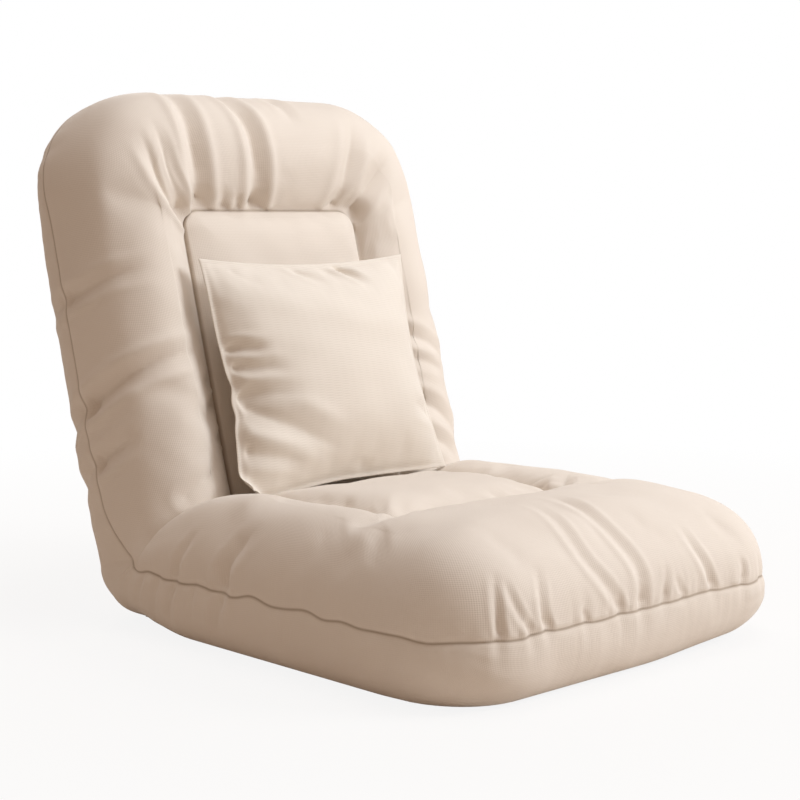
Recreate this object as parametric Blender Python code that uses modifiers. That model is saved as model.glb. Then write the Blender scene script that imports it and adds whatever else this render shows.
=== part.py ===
"""A folding floor chair: two padded halves on a steel tube frame, a pair of ratchet hinges, and a loose pillow.

Metres, +Z up. The sitter faces -Y, so the sitter's left is +X. The origin is on the floor, under the middle
of the chair. Both halves are modelled in the hinge's own frame: x across the chair, s away from the hinge line
along the half's tube frame, and n square to that frame towards the side that is sat on or leaned on. An empty
on the hinge line carries each half. The seat's frame is turned half round about Z, so its x runs the other way.
"""

from math import asin, cos, hypot, pi, radians, sin, sqrt

import bmesh
import bpy
from mathutils import Vector

# Overall sizes of the chair.
PAD_WIDTH = 0.660
SEAT_LENGTH = 0.690
BACK_LENGTH = 0.690
REST_ANGLE = radians(105.6)
HINGE_HEIGHT = 0.088
SEAT_CORNER = 0.115
BACK_CORNER = 0.165

# Soft fill, measured up from the plane of the tube frame.
SEAT_ROLL_HEIGHT = 0.112
BACK_ROLL_HEIGHT = 0.120
SEAT_PAD_HEIGHT = 0.096
BACK_PANEL_HEIGHT = 0.089
SEAT_SIDE_ROUNDING = 0.125
BACK_SIDE_ROUNDING = 0.110
SEAT_REAR_ROUNDING = 0.185
SEAT_REAR_END = 0.036
PANEL_WIDTH = 0.335
SEAT_PANEL_END = 0.375
BACK_PANEL_END = 0.490
PANEL_CORNER = 0.030
CHANNEL_DEPTH = 0.034
CHANNEL_REACH = 0.030
GATHER_DEPTH = 0.007
GATHERS = 5
ROLL_EDGE = 0.016

# Covers, foam and cloth below and behind the frame.
BACK_SHELL_DEPTH = 0.082
SEAT_SHELL_ROUNDING = 0.045
BACK_SHELL_ROUNDING = 0.085
SHELL_WALL = 0.0025
SHELL_END = 0.0005
CLOTH_THICKNESS = 0.002
CLOTH_INSET = 0.055
FOAM_SIDE = 0.040
FOAM_HEIGHT = 0.034
FOAM_CORNER = 0.110
FOAM_HINGE_CLEARANCE = 0.170
LOW_FOAM_HINGE_CLEARANCE = 0.048
SLING_THICKNESS = 0.001
CORNER_FILL_INNER = 0.034

# Tube frame.
TUBE = 0.019
CROSS_TUBE = 0.016
HOOP_CORNER = 0.080
FRAME_INSET = 0.100
HOOP_END_MARGIN = 0.060
TUBE_START = 0.060
SEAT_CROSS_BARS = (0.200, 0.430)
BACK_CROSS_BARS = (0.210, 0.440)
SLING_HINGE_CLEARANCE = 0.066

# Ratchet hinge: a toothed plate on the seat runs between two cheek plates on the back.
RATCHET_THICKNESS = 0.004
CHEEK_THICKNESS = 0.0025
RATCHET_RADIUS = 0.024
TOOTH_DEPTH = 0.0035
RATCHET_STEPS = 4
CHEEK_RADIUS = 0.026
ARM_LENGTH = 0.140
ARM_WIDTH = 0.018
PIVOT_RADIUS = 0.005
PIVOT_HEAD = 0.009
HEAD_THICKNESS = 0.002
PAWL_PIN_S = 0.050
PAWL_PIN_RADIUS = 0.003
PAWL_PIN_HEAD = 0.005
PAWL_EYE = 0.0065
PAWL_TIP_WIDTH = 0.005
PAWL_LIFT = 0.0006
SPACER_S = 0.118
SPACER_RADIUS = 0.004
SPRING_WIDTH = 0.003
SPRING_THICKNESS = 0.0012

# Zip across the middle of the rear cover.
ZIP_LENGTH = 0.460
ZIP_WIDTH = 0.026
ZIP_THICKNESS = 0.0012
ZIP_S = 0.300
SLIDER_LENGTH = 0.011
SLIDER_WIDTH = 0.009
SLIDER_HEIGHT = 0.0024
SLIDER_END_MARGIN = 0.020
PULL_LENGTH = 0.024
PULL_WIDTH = 0.006
PULL_THICKNESS = 0.0014

# Loose pillow, standing on the seat against the backrest.
PILLOW_WIDTH = 0.400
PILLOW_HEIGHT = 0.345
PILLOW_THICKNESS = 0.118
PILLOW_EDGE = 0.0016
PILLOW_DRAW_IN = 0.014

# Clearances.
TOUCH = 0.0003
SLIDE_FIT = 0.0005
SEAM_GAP = 0.0006
PLUSH_GAP = 0.0006
FOAM_SLACK = 0.003

HALF = PAD_WIDTH / 2
TUBE_R = TUBE / 2
BACK_HOOP_X = HALF - FRAME_INSET
LEAN = REST_ANGLE - pi / 2
SEAT_SHELL_DEPTH = HINGE_HEIGHT - CLOTH_THICKNESS - TOUCH
SEAT_SHELL = (SEAT_LENGTH, SEAT_CORNER, SEAT_SHELL_DEPTH, SEAT_SHELL_ROUNDING)
BACK_SHELL = (BACK_LENGTH, BACK_CORNER, BACK_SHELL_DEPTH, BACK_SHELL_ROUNDING)
CREASE_START = -SEAT_REAR_END * sin(LEAN)
SLING_BASE = TUBE_R + TOUCH
FOAM_BASE = SLING_BASE + SLING_THICKNESS + TOUCH
FOAM_TOP = FOAM_BASE + FOAM_HEIGHT
INNER_CHEEK_X = BACK_HOOP_X + TUBE_R + TOUCH
RATCHET_X = INNER_CHEEK_X + CHEEK_THICKNESS + SLIDE_FIT
OUTER_CHEEK_X = RATCHET_X + RATCHET_THICKNESS + SLIDE_FIT
STACK_OUTSIDE = OUTER_CHEEK_X + CHEEK_THICKNESS
SEAT_HOOP_X = RATCHET_X - TOUCH - TUBE_R
FAR_BELOW = -0.100
FAR_ABOVE = 0.250


def clear_scene():
    for obj in list(bpy.data.objects):
        bpy.data.objects.remove(obj, do_unlink=True)


def new_collection(name):
    made = bpy.data.collections.new(name)
    bpy.context.scene.collection.children.link(made)
    return made


def new_material(name, colour, roughness, metallic=0.0):
    made = bpy.data.materials.new(name)
    made.use_nodes = True
    shader = made.node_tree.nodes["Principled BSDF"]
    shader.inputs["Base Color"].default_value = (*colour, 1.0)
    shader.inputs["Roughness"].default_value = roughness
    shader.inputs["Metallic"].default_value = metallic
    return made


clear_scene()
CHAIR = new_collection("floor_chair")
CUTTERS = new_collection("cutters")
COVER_CLOTH = new_material("cover_cloth", (0.80, 0.73, 0.65), 0.9)
PILLOW_CLOTH = new_material("pillow_cloth", (0.83, 0.77, 0.70), 0.9)
GRIP_CLOTH = new_material("grip_cloth", (0.20, 0.19, 0.18), 0.95)
FOAM = new_material("foam", (0.86, 0.82, 0.70), 0.95)
SLING_CLOTH = new_material("sling_cloth", (0.75, 0.75, 0.73), 0.9)
PAINTED_STEEL = new_material("painted_steel", (0.05, 0.05, 0.055), 0.45, 0.4)
ZINC_STEEL = new_material("zinc_steel", (0.62, 0.62, 0.60), 0.35, 1.0)
ZIP_TAPE = new_material("zip_tape", (0.78, 0.71, 0.63), 0.85)


def new_empty(name, location, rotation=(0, 0, 0), parent=None):
    made = bpy.data.objects.new(name, None)
    made.location = location
    made.rotation_euler = rotation
    made.parent = parent
    CHAIR.objects.link(made)
    return made


HINGE_LINE = new_empty("hinge_line", (0, 0, HINGE_HEIGHT))
SEAT = new_empty("seat_axis", (0, 0, 0), (0, 0, pi), HINGE_LINE)
BACK = new_empty("back_axis", (0, 0, 0), (pi - REST_ANGLE, 0, 0), HINGE_LINE)


def file_under(obj, collection, parent):
    for held in list(obj.users_collection):
        held.objects.unlink(obj)
    collection.objects.link(obj)
    obj.parent = parent


def adopt(obj, parent, material, location=(0, 0, 0), rotation=(0, 0, 0)):
    """Files a new object with the chair's parts and hangs it on its half of the chair."""
    file_under(obj, CHAIR, parent)
    obj.location = location
    obj.rotation_euler = rotation
    obj.data.materials.append(material)
    return obj


def as_cutter(obj, parent):
    """Makes an object a hidden cutter on one half of the chair."""
    file_under(obj, CUTTERS, parent)
    obj.hide_render = True
    obj.display_type = "WIRE"
    return obj


def cut(obj, cutter):
    modifier = obj.modifiers.new(f"less_{cutter.name}", "BOOLEAN")
    modifier.operation = "DIFFERENCE"
    modifier.object = cutter
    modifier.solver = "EXACT"
    return obj


def smooth(obj, degrees=40):
    obj.data.shade_smooth()
    obj.data.set_sharp_from_angle(angle=radians(degrees))
    return obj


def softened(obj):
    """Turns a coarse cage into a soft form."""
    modifier = obj.modifiers.new("soft_form", "SUBSURF")
    modifier.levels = 1
    modifier.render_levels = 1
    return smooth(obj, 60)


def from_bmesh(bm, name):
    bmesh.ops.recalc_face_normals(bm, faces=bm.faces[:])
    mesh = bpy.data.meshes.new(name)
    bm.to_mesh(mesh)
    bm.free()
    obj = bpy.data.objects.new(name, mesh)
    bpy.context.scene.collection.objects.link(obj)
    return obj


def new_verts(geometry):
    return [item for item in geometry if isinstance(item, bmesh.types.BMVert)]


def box(name, low, high):
    """A box between two corners, with its origin at the parent's."""
    bm = bmesh.new()
    bmesh.ops.create_cube(bm, size=1.0)
    for vert in bm.verts:
        vert.co = Vector([(a + b) / 2 + c * (b - a) for a, b, c in zip(low, high, vert.co)])
    return from_bmesh(bm, name)


def tube(name, points, radius, parent):
    """A tube along the points, as a bevelled curve with closed ends."""
    curve = bpy.data.curves.new(name, "CURVE")
    curve.dimensions = "3D"
    curve.bevel_depth = radius
    curve.bevel_resolution = 3
    curve.use_fill_caps = True
    spline = curve.splines.new("POLY")
    spline.points.add(len(points) - 1)
    for point, place in zip(spline.points, points):
        point.co = (*place, 1.0)
    spline.use_smooth = True
    return adopt(bpy.data.objects.new(name, curve), parent, PAINTED_STEEL)


def plate(name, outlines, x_low, thickness, parent):
    """A flat plate cut to closed outlines of (s, n) points, standing square to x."""
    curve = bpy.data.curves.new(name, "CURVE")
    curve.dimensions = "2D"
    curve.fill_mode = "BOTH"
    curve.extrude = thickness / 2
    for outline in outlines:
        spline = curve.splines.new("POLY")
        spline.points.add(len(outline) - 1)
        for point, (s, n) in zip(spline.points, outline):
            point.co = (s, n, 0.0, 1.0)
        spline.use_cyclic_u = True
    place = (x_low + thickness / 2, 0, 0)
    return adopt(bpy.data.objects.new(name, curve), parent, ZINC_STEEL, place, (pi / 2, 0, pi / 2))


def turned(name, profile, parent, location):
    """A pin or rivet turned from (x, radius) points that start and end on its axis, which runs along x."""
    bm = bmesh.new()
    verts = [bm.verts.new((radius, 0.0, x)) for x, radius in reversed(profile)]
    for first, second in zip(verts, verts[1:]):
        bm.edges.new((first, second))
    mesh = bpy.data.meshes.new(name)
    bm.to_mesh(mesh)
    bm.free()
    obj = adopt(bpy.data.objects.new(name, mesh), parent, ZINC_STEEL, location, (0, pi / 2, 0))
    screw = obj.modifiers.new("turned", "SCREW")
    screw.axis = "Z"
    screw.steps = 24
    screw.render_steps = 24
    screw.use_merge_vertices = True
    screw.merge_threshold = 0.00001
    return obj


def arc(centre, radius, start, end, count):
    """Points along an arc in the (s, n) plane, both ends included."""
    turns = [start + (end - start) * k / (count - 1) for k in range(count)]
    return [(centre[0] + radius * cos(turn), centre[1] + radius * sin(turn)) for turn in turns]


def circle(centre, radius, sides=20):
    return arc(centre, radius, 0, 2 * pi * (1 - 1 / sides), sides)


# Plan and height of a padded half.
def plan_point(x, s, half, far, corner):
    """Moves a point of the plan's rectangle so that the two corners at s = far get their round."""
    p = (abs(x) - (half - corner)) / corner
    q = (s - (far - corner)) / corner
    if p > 0 and q > 0:
        p, q = min(p, 1), min(q, 1)
        side = 1 if x > 0 else -1
        x = side * (half - corner + p * sqrt(1 - q * q / 2) * corner)
        s = far - corner + q * sqrt(1 - p * p / 2) * corner
    return x, s


def edge_distance(x, s, half, far, corner):
    """How far a point of the plan lies inside the sides and the rounded far end."""
    p = abs(x) - (half - corner)
    q = s - (far - corner)
    if p > 0 and q > 0:
        return corner - hypot(p, q)
    return min(half - abs(x), far - s)


def panel_distance(x, s, end):
    """Signed distance outwards from the centre panel's sewn line, which is open towards the hinge."""
    p = abs(x) - (PANEL_WIDTH / 2 - PANEL_CORNER)
    q = s - (end - PANEL_CORNER)
    if p > 0 and q > 0:
        return hypot(p, q) - PANEL_CORNER
    return max(p, q) - PANEL_CORNER


def swell(distance, reach):
    """The rise of a stuffed edge: 0 at the seam with an upright start, 1 from reach inwards."""
    t = min(max(distance / reach, 0.0), 1.0)
    return (1 - (1 - t) ** 2.2) ** (1 / 2.2)


def drawn_down(x, s, end):
    """How far the cloth is drawn down by the sewn line, and by the gathers that run out from its far end."""
    distance = panel_distance(x, s, end) / CHANNEL_REACH
    channel = CHANNEL_DEPTH / (1 + distance**2) ** 2
    fade = min(max(s - end, 0.0) / CHANNEL_REACH, 1.0) * max(0.0, 1 - abs(x) / PANEL_WIDTH)
    return channel - GATHER_DEPTH * fade * cos(2 * pi * GATHERS * x / PANEL_WIDTH)


def seat_height(x, s, grow=0.0):
    """Height of the seat's roll over the frame: round sides and front, and a long fall to the crease."""
    side = swell(edge_distance(x, s, HALF + grow, SEAT_LENGTH + grow, SEAT_CORNER + grow), SEAT_SIDE_ROUNDING)
    rear = swell(s - SEAT_REAR_END + grow, SEAT_REAR_ROUNDING)
    rise = SEAT_ROLL_HEIGHT - ROLL_EDGE - drawn_down(x, s, SEAT_PANEL_END)
    return ROLL_EDGE + rise * side * rear + grow


def seat_pad_height(x, s):
    """Height of the seat's centre pad, which falls to the crease as the roll beside it does."""
    rear = swell(s - SEAT_REAR_END, SEAT_REAR_ROUNDING)
    rise = SEAT_PAD_HEIGHT - ROLL_EDGE - drawn_down(x, s, SEAT_PANEL_END)
    return ROLL_EDGE + rise * rear


def back_height(x, s):
    """Height of the backrest's roll over the frame: round sides and top."""
    side = swell(edge_distance(x, s, HALF, BACK_LENGTH, BACK_CORNER), BACK_SIDE_ROUNDING)
    return ROLL_EDGE + (BACK_ROLL_HEIGHT - ROLL_EDGE - drawn_down(x, s, BACK_PANEL_END)) * side


def back_panel_height(x, s):
    """Height of the backrest's centre panel, which is flatter than the roll round it."""
    return BACK_PANEL_HEIGHT - drawn_down(x, s, BACK_PANEL_END) / 2


def shell_height(x, s, shell, inset):
    """Height, below zero, of a lower or rear cover under the frame, with its edge turned in to the seam."""
    far, corner, depth, rounding = shell
    distance = edge_distance(x, s, HALF - inset, far - inset, corner - inset)
    return -ROLL_EDGE - (depth - ROLL_EDGE - inset) * swell(distance, rounding)


def packed(low, high, count):
    """Grid lines from low to high, drawn together at high."""
    return [low + (high - low) * sin(pi / 2 * k / count) for k in range(count + 1)]


def spread(low, high, count):
    return [low + (high - low) * k / count for k in range(count + 1)]


def in_a_row(*runs):
    """Grid lines of several runs, each of which starts where the last one ended."""
    lines = list(runs[0])
    for run in runs[1:]:
        lines += run[1:]
    return lines


def both_sides(lines):
    """Grid lines mirrored about the middle, where the first of them lies."""
    return [-x for x in reversed(lines[1:])] + list(lines)


def over_plan(name, x_lines, s_lines, place, height, foot):
    """A closed solid from a grid: its top follows height(x, s) over the plan, and its foot is flat."""
    columns = len(x_lines)
    bm = bmesh.new()
    crease = bm.edges.layers.float.new("crease_edge")
    bmesh.ops.create_grid(bm, x_segments=columns - 1, y_segments=len(s_lines) - 1, size=1.0)
    bm.verts.ensure_lookup_table()
    for index, vert in enumerate(bm.verts):
        x, s = place(x_lines[index % columns], s_lines[index // columns])
        vert.co = Vector((x, s, height(x, s)))
    rim = [edge for edge in bm.edges if edge.is_boundary]
    wall = bmesh.ops.extrude_edge_only(bm, edges=rim)["geom"]
    for vert in new_verts(wall):
        vert.co.z = foot
    foot_edges = [item for item in wall if isinstance(item, bmesh.types.BMEdge)]
    bmesh.ops.contextual_create(bm, geom=foot_edges)
    for edge in foot_edges:
        edge[crease] = 1.0
    return from_bmesh(bm, name)


def slab(name, half, start, far, corner, low, high):
    """A flat sheet or slab with its two far corners rounded."""
    lines = both_sides(in_a_row([0.0, half - corner], packed(half - corner, half, 5)))
    rows = in_a_row([start, far - corner], packed(far - corner, far, 5))
    plan = (half, far, corner)
    return over_plan(name, lines, rows, lambda x, s: plan_point(x, s, *plan), lambda x, s: high, low)


def roll_lines_x(scale=1.0):
    """Lines across a roll: two for each gather, one outside the channel, and more towards the side."""
    inner = PANEL_WIDTH / 2
    outer = inner + CHANNEL_REACH
    lines = in_a_row(spread(0.0, inner, GATHERS), [inner, outer], packed(outer, HALF, 3))
    return [x * scale for x in both_sides(lines)]


def seat_roll_blank(name, grow):
    """The seat's roll before anything is cut from it; grown, it is the room that the backrest leaves for it."""
    half, far, corner = HALF + grow, SEAT_LENGTH + grow, SEAT_CORNER + grow
    rear = SEAT_REAR_END - grow
    reach = SEAT_REAR_ROUNDING
    before, beyond = SEAT_PANEL_END - CHANNEL_REACH, SEAT_PANEL_END + CHANNEL_REACH
    steep = [rear, rear + reach / 20, rear + reach / 6, rear + reach / 2, before]
    s_lines = in_a_row(steep, [before, SEAT_PANEL_END, beyond], packed(beyond, far, 6))
    return over_plan(
        name,
        roll_lines_x(half / HALF),
        s_lines,
        lambda x, s: plan_point(x, s, half, far, corner),
        lambda x, s: seat_height(x, s, grow),
        SEAM_GAP / 2 - grow,
    )


def back_roll_blank(name):
    before, beyond = BACK_PANEL_END - CHANNEL_REACH, BACK_PANEL_END + CHANNEL_REACH
    lower = spread(CREASE_START, before, 4)
    s_lines = in_a_row(lower, [before, BACK_PANEL_END, beyond], packed(beyond, BACK_LENGTH, 4))
    return over_plan(
        name,
        roll_lines_x(),
        s_lines,
        lambda x, s: plan_point(x, s, HALF, BACK_LENGTH, BACK_CORNER),
        back_height,
        SEAM_GAP / 2,
    )


def panel_blank(name, start, end, height):
    """A centre panel or pad before its underside is cut for the frame."""
    half = (PANEL_WIDTH - SEAM_GAP) / 2
    far = end - SEAM_GAP / 2
    turn = half - PANEL_CORNER
    lines = both_sides(in_a_row([0.0, half / 2, turn], packed(turn, half, 2)))
    crown = spread(start, far - 2 * PANEL_CORNER, 6)
    rows = in_a_row(crown, [crown[-1], far - PANEL_CORNER], packed(far - PANEL_CORNER, far, 2))
    plan = (half, far, PANEL_CORNER)
    return over_plan(name, lines, rows, lambda x, s: plan_point(x, s, *plan), height, SEAM_GAP / 2)


def panel_room(name, end, parent):
    """The room for the centre panel in a roll."""
    half = (PANEL_WIDTH + SEAM_GAP) / 2
    made = slab(name, half, FAR_BELOW, end + SEAM_GAP / 2, PANEL_CORNER, FAR_BELOW, FAR_ABOVE)
    return as_cutter(made, parent)


def foam_room(name, far, parent):
    """The room in the soft fill for the foam slab, and for the tubes and the sling under it."""
    half = HALF - FOAM_SIDE + TOUCH
    start = FOAM_HINGE_CLEARANCE - TOUCH
    end = far - FOAM_SIDE + TOUCH
    return as_cutter(slab(name, half, start, end, FOAM_CORNER, FAR_BELOW, FOAM_TOP + TOUCH), parent)


def hinge_room(name, parent, spare):
    """The room in the soft fill for the hinge plates and the ends of the tubes."""
    reach = STACK_OUTSIDE + HEAD_THICKNESS + spare
    high = (reach, FOAM_HINGE_CLEARANCE, CHEEK_RADIUS + TOUCH)
    return as_cutter(box(name, (-reach, FAR_BELOW, FAR_BELOW), high), parent)


def make_soft_fill():
    """The two rolls and the two panels that they frame, cut clear of the frame and of each other."""
    seat_rooms = [foam_room("seat_foam_room", SEAT_LENGTH, SEAT)]
    seat_rooms.append(hinge_room("seat_hinge_room", SEAT, SLIDE_FIT))
    back_rooms = [foam_room("back_foam_room", BACK_LENGTH, BACK)]
    back_rooms.append(hinge_room("back_hinge_room", BACK, 2 * SLIDE_FIT))
    under = box("under_seat_plane", (-PAD_WIDTH, FAR_BELOW, FAR_BELOW), (PAD_WIDTH, FAR_ABOVE, SEAM_GAP))
    under = as_cutter(under, SEAT)
    over = as_cutter(softened(seat_roll_blank("seat_roll_room", PLUSH_GAP)), SEAT)

    seat_roll = softened(adopt(seat_roll_blank("seat_bolster", 0.0), SEAT, COVER_CLOTH))
    seat_pad = panel_blank("seat_centre_pad", SEAT_REAR_END + TOUCH, SEAT_PANEL_END, seat_pad_height)
    softened(adopt(seat_pad, SEAT, COVER_CLOTH))
    back_roll = softened(adopt(back_roll_blank("back_bolster"), BACK, COVER_CLOTH))
    back_panel = panel_blank("back_centre_panel", CREASE_START, BACK_PANEL_END, back_panel_height)
    softened(adopt(back_panel, BACK, COVER_CLOTH))

    cut(seat_roll, panel_room("seat_panel_room", SEAT_PANEL_END, SEAT))
    cut(back_roll, panel_room("back_panel_room", BACK_PANEL_END, BACK))
    for pad in (seat_roll, seat_pad):
        for room in seat_rooms:
            cut(pad, room)
    for pad in (back_roll, back_panel):
        for room in (*back_rooms, seat_rooms[1], under, over):
            cut(pad, room)


# Covers, foam and cloth under and behind the frame.
def shell_blank(name, shell, inset, start, top):
    """The solid under a cover: flat at its top, and turned in round its edge."""
    half, far, corner = HALF - inset, shell[0] - inset, shell[1] - inset
    flat = half - shell[3]
    lines = both_sides(in_a_row([0.0, half - corner], spread(half - corner, flat, 2), packed(flat, half, 4)))
    rows = in_a_row(spread(start, far - corner, 3), packed(far - corner, far, 6))
    return over_plan(
        name,
        lines,
        rows,
        lambda x, s: plan_point(x, s, half, far, corner),
        lambda x, s: shell_height(x, s, shell, inset),
        top,
    )


def make_shell(name, shell, parent):
    """A lower or rear cover: a soft tub that is open towards the frame and at the hinge."""
    cover = adopt(shell_blank(name, shell, 0.0, SHELL_END, -SEAM_GAP / 2), parent, COVER_CLOTH)
    hollow = shell_blank(f"{name}_hollow", shell, SHELL_WALL, FAR_BELOW, ROLL_EDGE)
    cut(smooth(cover, 60), as_cutter(hollow, parent))


def make_lower_foam(name, shell, parent):
    """The foam slab inside a lower or rear cover, short of the frame and of the hinges."""
    made = shell_blank(name, shell, SHELL_WALL + FOAM_SLACK, LOW_FOAM_HINGE_CLEARANCE, -SLING_BASE)
    smooth(adopt(made, parent, FOAM), 60)


def make_upper_foam(name, far, parent):
    half = HALF - FOAM_SIDE
    made = slab(name, half, FOAM_HINGE_CLEARANCE, far - FOAM_SIDE, FOAM_CORNER, FOAM_BASE, FOAM_TOP)
    adopt(made, parent, FOAM)


def make_sling(name, hoop_x, far, parent):
    end = far - HOOP_END_MARGIN
    high = SLING_BASE + SLING_THICKNESS
    adopt(slab(name, hoop_x, SLING_HINGE_CLEARANCE, end, HOOP_CORNER, SLING_BASE, high), parent, SLING_CLOTH)


def make_base_cloth():
    """The gripping cloth that the chair stands on."""
    far = SEAT_LENGTH - CLOTH_INSET
    low = -HINGE_HEIGHT
    high = low + CLOTH_THICKNESS
    made = slab("seat_base_cloth", HALF - CLOTH_INSET, SHELL_END, far, SEAT_CORNER - CLOTH_INSET, low, high)
    adopt(made, SEAT, GRIP_CLOTH)


def make_corner_fill():
    """The soft wrap round the rear corner: the covers' section turned about the hinge line between them."""
    half = HALF - ROLL_EDGE
    flat = HALF - BACK_SHELL_ROUNDING
    lines = both_sides(in_a_row([0.0, flat], packed(flat, half, 4)))
    outline = [(x, shell_height(x, 0, BACK_SHELL, 0.0)) for x in lines]
    outline += [(half, -CORNER_FILL_INNER), (-half, -CORNER_FILL_INNER)]
    bm = bmesh.new()
    section = bm.faces.new([bm.verts.new((x, 0, n)) for x, n in outline])
    geom = [section, *section.edges, *section.verts]
    turn = REST_ANGLE - pi
    bmesh.ops.spin(bm, geom=geom, cent=(0, 0, 0), axis=(1, 0, 0), angle=turn, steps=8)
    smooth(adopt(from_bmesh(bm, "rear_corner_fill"), SEAT, COVER_CLOTH), 60)


# Tube frame.
def make_frame(side, hoop_x, far, bars, parent):
    """A U of tube from one hinge round the far end to the other, with bars across it."""
    end = far - HOOP_END_MARGIN
    bend = arc((hoop_x - HOOP_CORNER, end - HOOP_CORNER), HOOP_CORNER, 0, pi / 2, 7)
    right = [(hoop_x, TUBE_START), *bend]
    left = [(-x, s) for x, s in reversed(right)]
    tube(f"{side}_frame_hoop", [(x, s, 0.0) for x, s in right + left], TUBE_R, parent)
    reach = hoop_x - TUBE_R - TOUCH
    for number, s in enumerate(bars, start=1):
        tube(f"{side}_cross_bar_{number}", [(-reach, s, 0.0), (reach, s, 0.0)], CROSS_TUBE / 2, parent)


# Ratchet hinges.
def arm_end():
    return arc((ARM_LENGTH - ARM_WIDTH / 2, 0.0), ARM_WIDTH / 2, -pi / 2, pi / 2, 9)


def cheek_outline():
    """A round head on the hinge line, then a straight arm with a round end."""
    turn = asin(ARM_WIDTH / 2 / CHEEK_RADIUS)
    return arc((0.0, 0.0), CHEEK_RADIUS, turn, 2 * pi - turn, 28) + arm_end()


def ratchet_outline():
    """As a cheek, with saw teeth round the part of its head that the pawl passes."""
    turn = asin(ARM_WIDTH / 2 / RATCHET_RADIUS)
    pitch = (pi - REST_ANGLE) / RATCHET_STEPS
    first = REST_ANGLE - 1.5 * pitch
    outline = arc((0.0, 0.0), RATCHET_RADIUS, turn, first - pitch / 2, 6)
    for tooth in range(RATCHET_STEPS + 2):
        for share, depth in ((0.0, 0.0), (0.4, 0.0), (0.6, TOOTH_DEPTH)):
            angle = first + (tooth + share) * pitch
            radius = RATCHET_RADIUS - depth
            outline.append((radius * cos(angle), radius * sin(angle)))
    last = first + (RATCHET_STEPS + 2) * pitch
    return outline + arc((0.0, 0.0), RATCHET_RADIUS, last, 2 * pi - turn, 12) + arm_end()


def pawl_outline():
    """An eye on its pin, and a nose that ends just clear of the ratchet's teeth."""
    tip = RATCHET_RADIUS + PAWL_LIFT
    spread_angle = asin(PAWL_TIP_WIDTH / 2 / tip)
    eye = arc((PAWL_PIN_S, 0.0), PAWL_EYE, -0.6 * pi, 0.6 * pi, 13)
    return eye + arc((0.0, 0.0), tip, spread_angle, -spread_angle, 4)


def on_side(side, x_low, thickness):
    """The lower x of a plate that lies from x_low outwards on side +1, or of its mirror image on side -1."""
    return x_low if side > 0 else -x_low - thickness


def headed_pin(name, radius, head, x_low, x_high, side, s, parent):
    """A pin with a head on each end, whose shank spans x_low to x_high on its side."""
    ends = (x_low - HEAD_THICKNESS, x_low - TOUCH, x_high + TOUCH, x_high + HEAD_THICKNESS)
    a, b, c, d = ends
    profile = [(a, 0.0), (a, head), (b, head), (b, radius), (c, radius), (c, head), (d, head), (d, 0.0)]
    if side < 0:
        profile = [(-x, r) for x, r in reversed(profile)]
    turned(name, profile, parent, (0, s, 0))


def make_spacer(name, side):
    """A stepped rivet that holds the two cheeks apart by the ratchet's room, with its head outside."""
    shoulder = SPACER_RADIUS * 1.5
    a, b = INNER_CHEEK_X, INNER_CHEEK_X + CHEEK_THICKNESS + TOUCH
    c, d, e = OUTER_CHEEK_X - TOUCH, STACK_OUTSIDE + TOUCH, STACK_OUTSIDE + HEAD_THICKNESS
    profile = [(a, 0.0), (a, SPACER_RADIUS), (b, SPACER_RADIUS), (b, shoulder), (c, shoulder)]
    profile += [(c, SPACER_RADIUS), (d, SPACER_RADIUS), (d, shoulder), (e, shoulder), (e, 0.0)]
    if side < 0:
        profile = [(-x, r) for x, r in reversed(profile)]
    turned(name, profile, BACK, (0, SPACER_S, 0))


def make_hinge(label, side):
    """One ratchet hinge. The seat's frame is turned half round, so the side changes sign on it."""
    pivot_hole = circle((0.0, 0.0), PIVOT_RADIUS + TOUCH)
    pin_hole = circle((PAWL_PIN_S, 0.0), PAWL_PIN_RADIUS + TOUCH)
    spacer_hole = circle((SPACER_S, 0.0), SPACER_RADIUS + TOUCH)
    ratchet_x = on_side(-side, RATCHET_X, RATCHET_THICKNESS)
    plate(f"seat_ratchet_{label}", [ratchet_outline(), pivot_hole], ratchet_x, RATCHET_THICKNESS, SEAT)
    for layer, x_low in (("inner", INNER_CHEEK_X), ("outer", OUTER_CHEEK_X)):
        outlines = [cheek_outline(), pivot_hole, pin_hole, spacer_hole]
        x_low = on_side(side, x_low, CHEEK_THICKNESS)
        plate(f"back_{layer}_cheek_{label}", outlines, x_low, CHEEK_THICKNESS, BACK)
    span = (INNER_CHEEK_X, STACK_OUTSIDE, side)
    headed_pin(f"pivot_rivet_{label}", PIVOT_RADIUS, PIVOT_HEAD, *span, 0.0, BACK)
    headed_pin(f"pawl_pin_{label}", PAWL_PIN_RADIUS, PAWL_PIN_HEAD, *span, PAWL_PIN_S, BACK)
    make_spacer(f"cheek_spacer_{label}", side)
    make_pawl(label, side)


def make_pawl(label, side):
    """The pawl turns on its pin, and a leaf spring between it and the spacer presses on it."""
    axis = new_empty(f"pawl_axis_{label}", (0, PAWL_PIN_S, 0), parent=BACK)
    outlines = [[(s - PAWL_PIN_S, n) for s, n in pawl_outline()]]
    outlines.append(circle((0.0, 0.0), PAWL_PIN_RADIUS + TOUCH))
    pawl_x = on_side(side, RATCHET_X, RATCHET_THICKNESS)
    plate(f"pawl_{label}", outlines, pawl_x, RATCHET_THICKNESS, axis)
    middle = RATCHET_X + RATCHET_THICKNESS / 2
    start, end = PAWL_PIN_S + PAWL_EYE + TOUCH, SPACER_S - 1.5 * SPACER_RADIUS - TOUCH
    leaf = [(start, -SPRING_THICKNESS / 2), (end, -SPRING_THICKNESS / 2), (end, SPRING_THICKNESS / 2)]
    leaf.append((start, SPRING_THICKNESS / 2))
    spring_x = on_side(side, middle - SPRING_WIDTH / 2, SPRING_WIDTH)
    plate(f"pawl_spring_{label}", [leaf], spring_x, SPRING_WIDTH, BACK)


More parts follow.
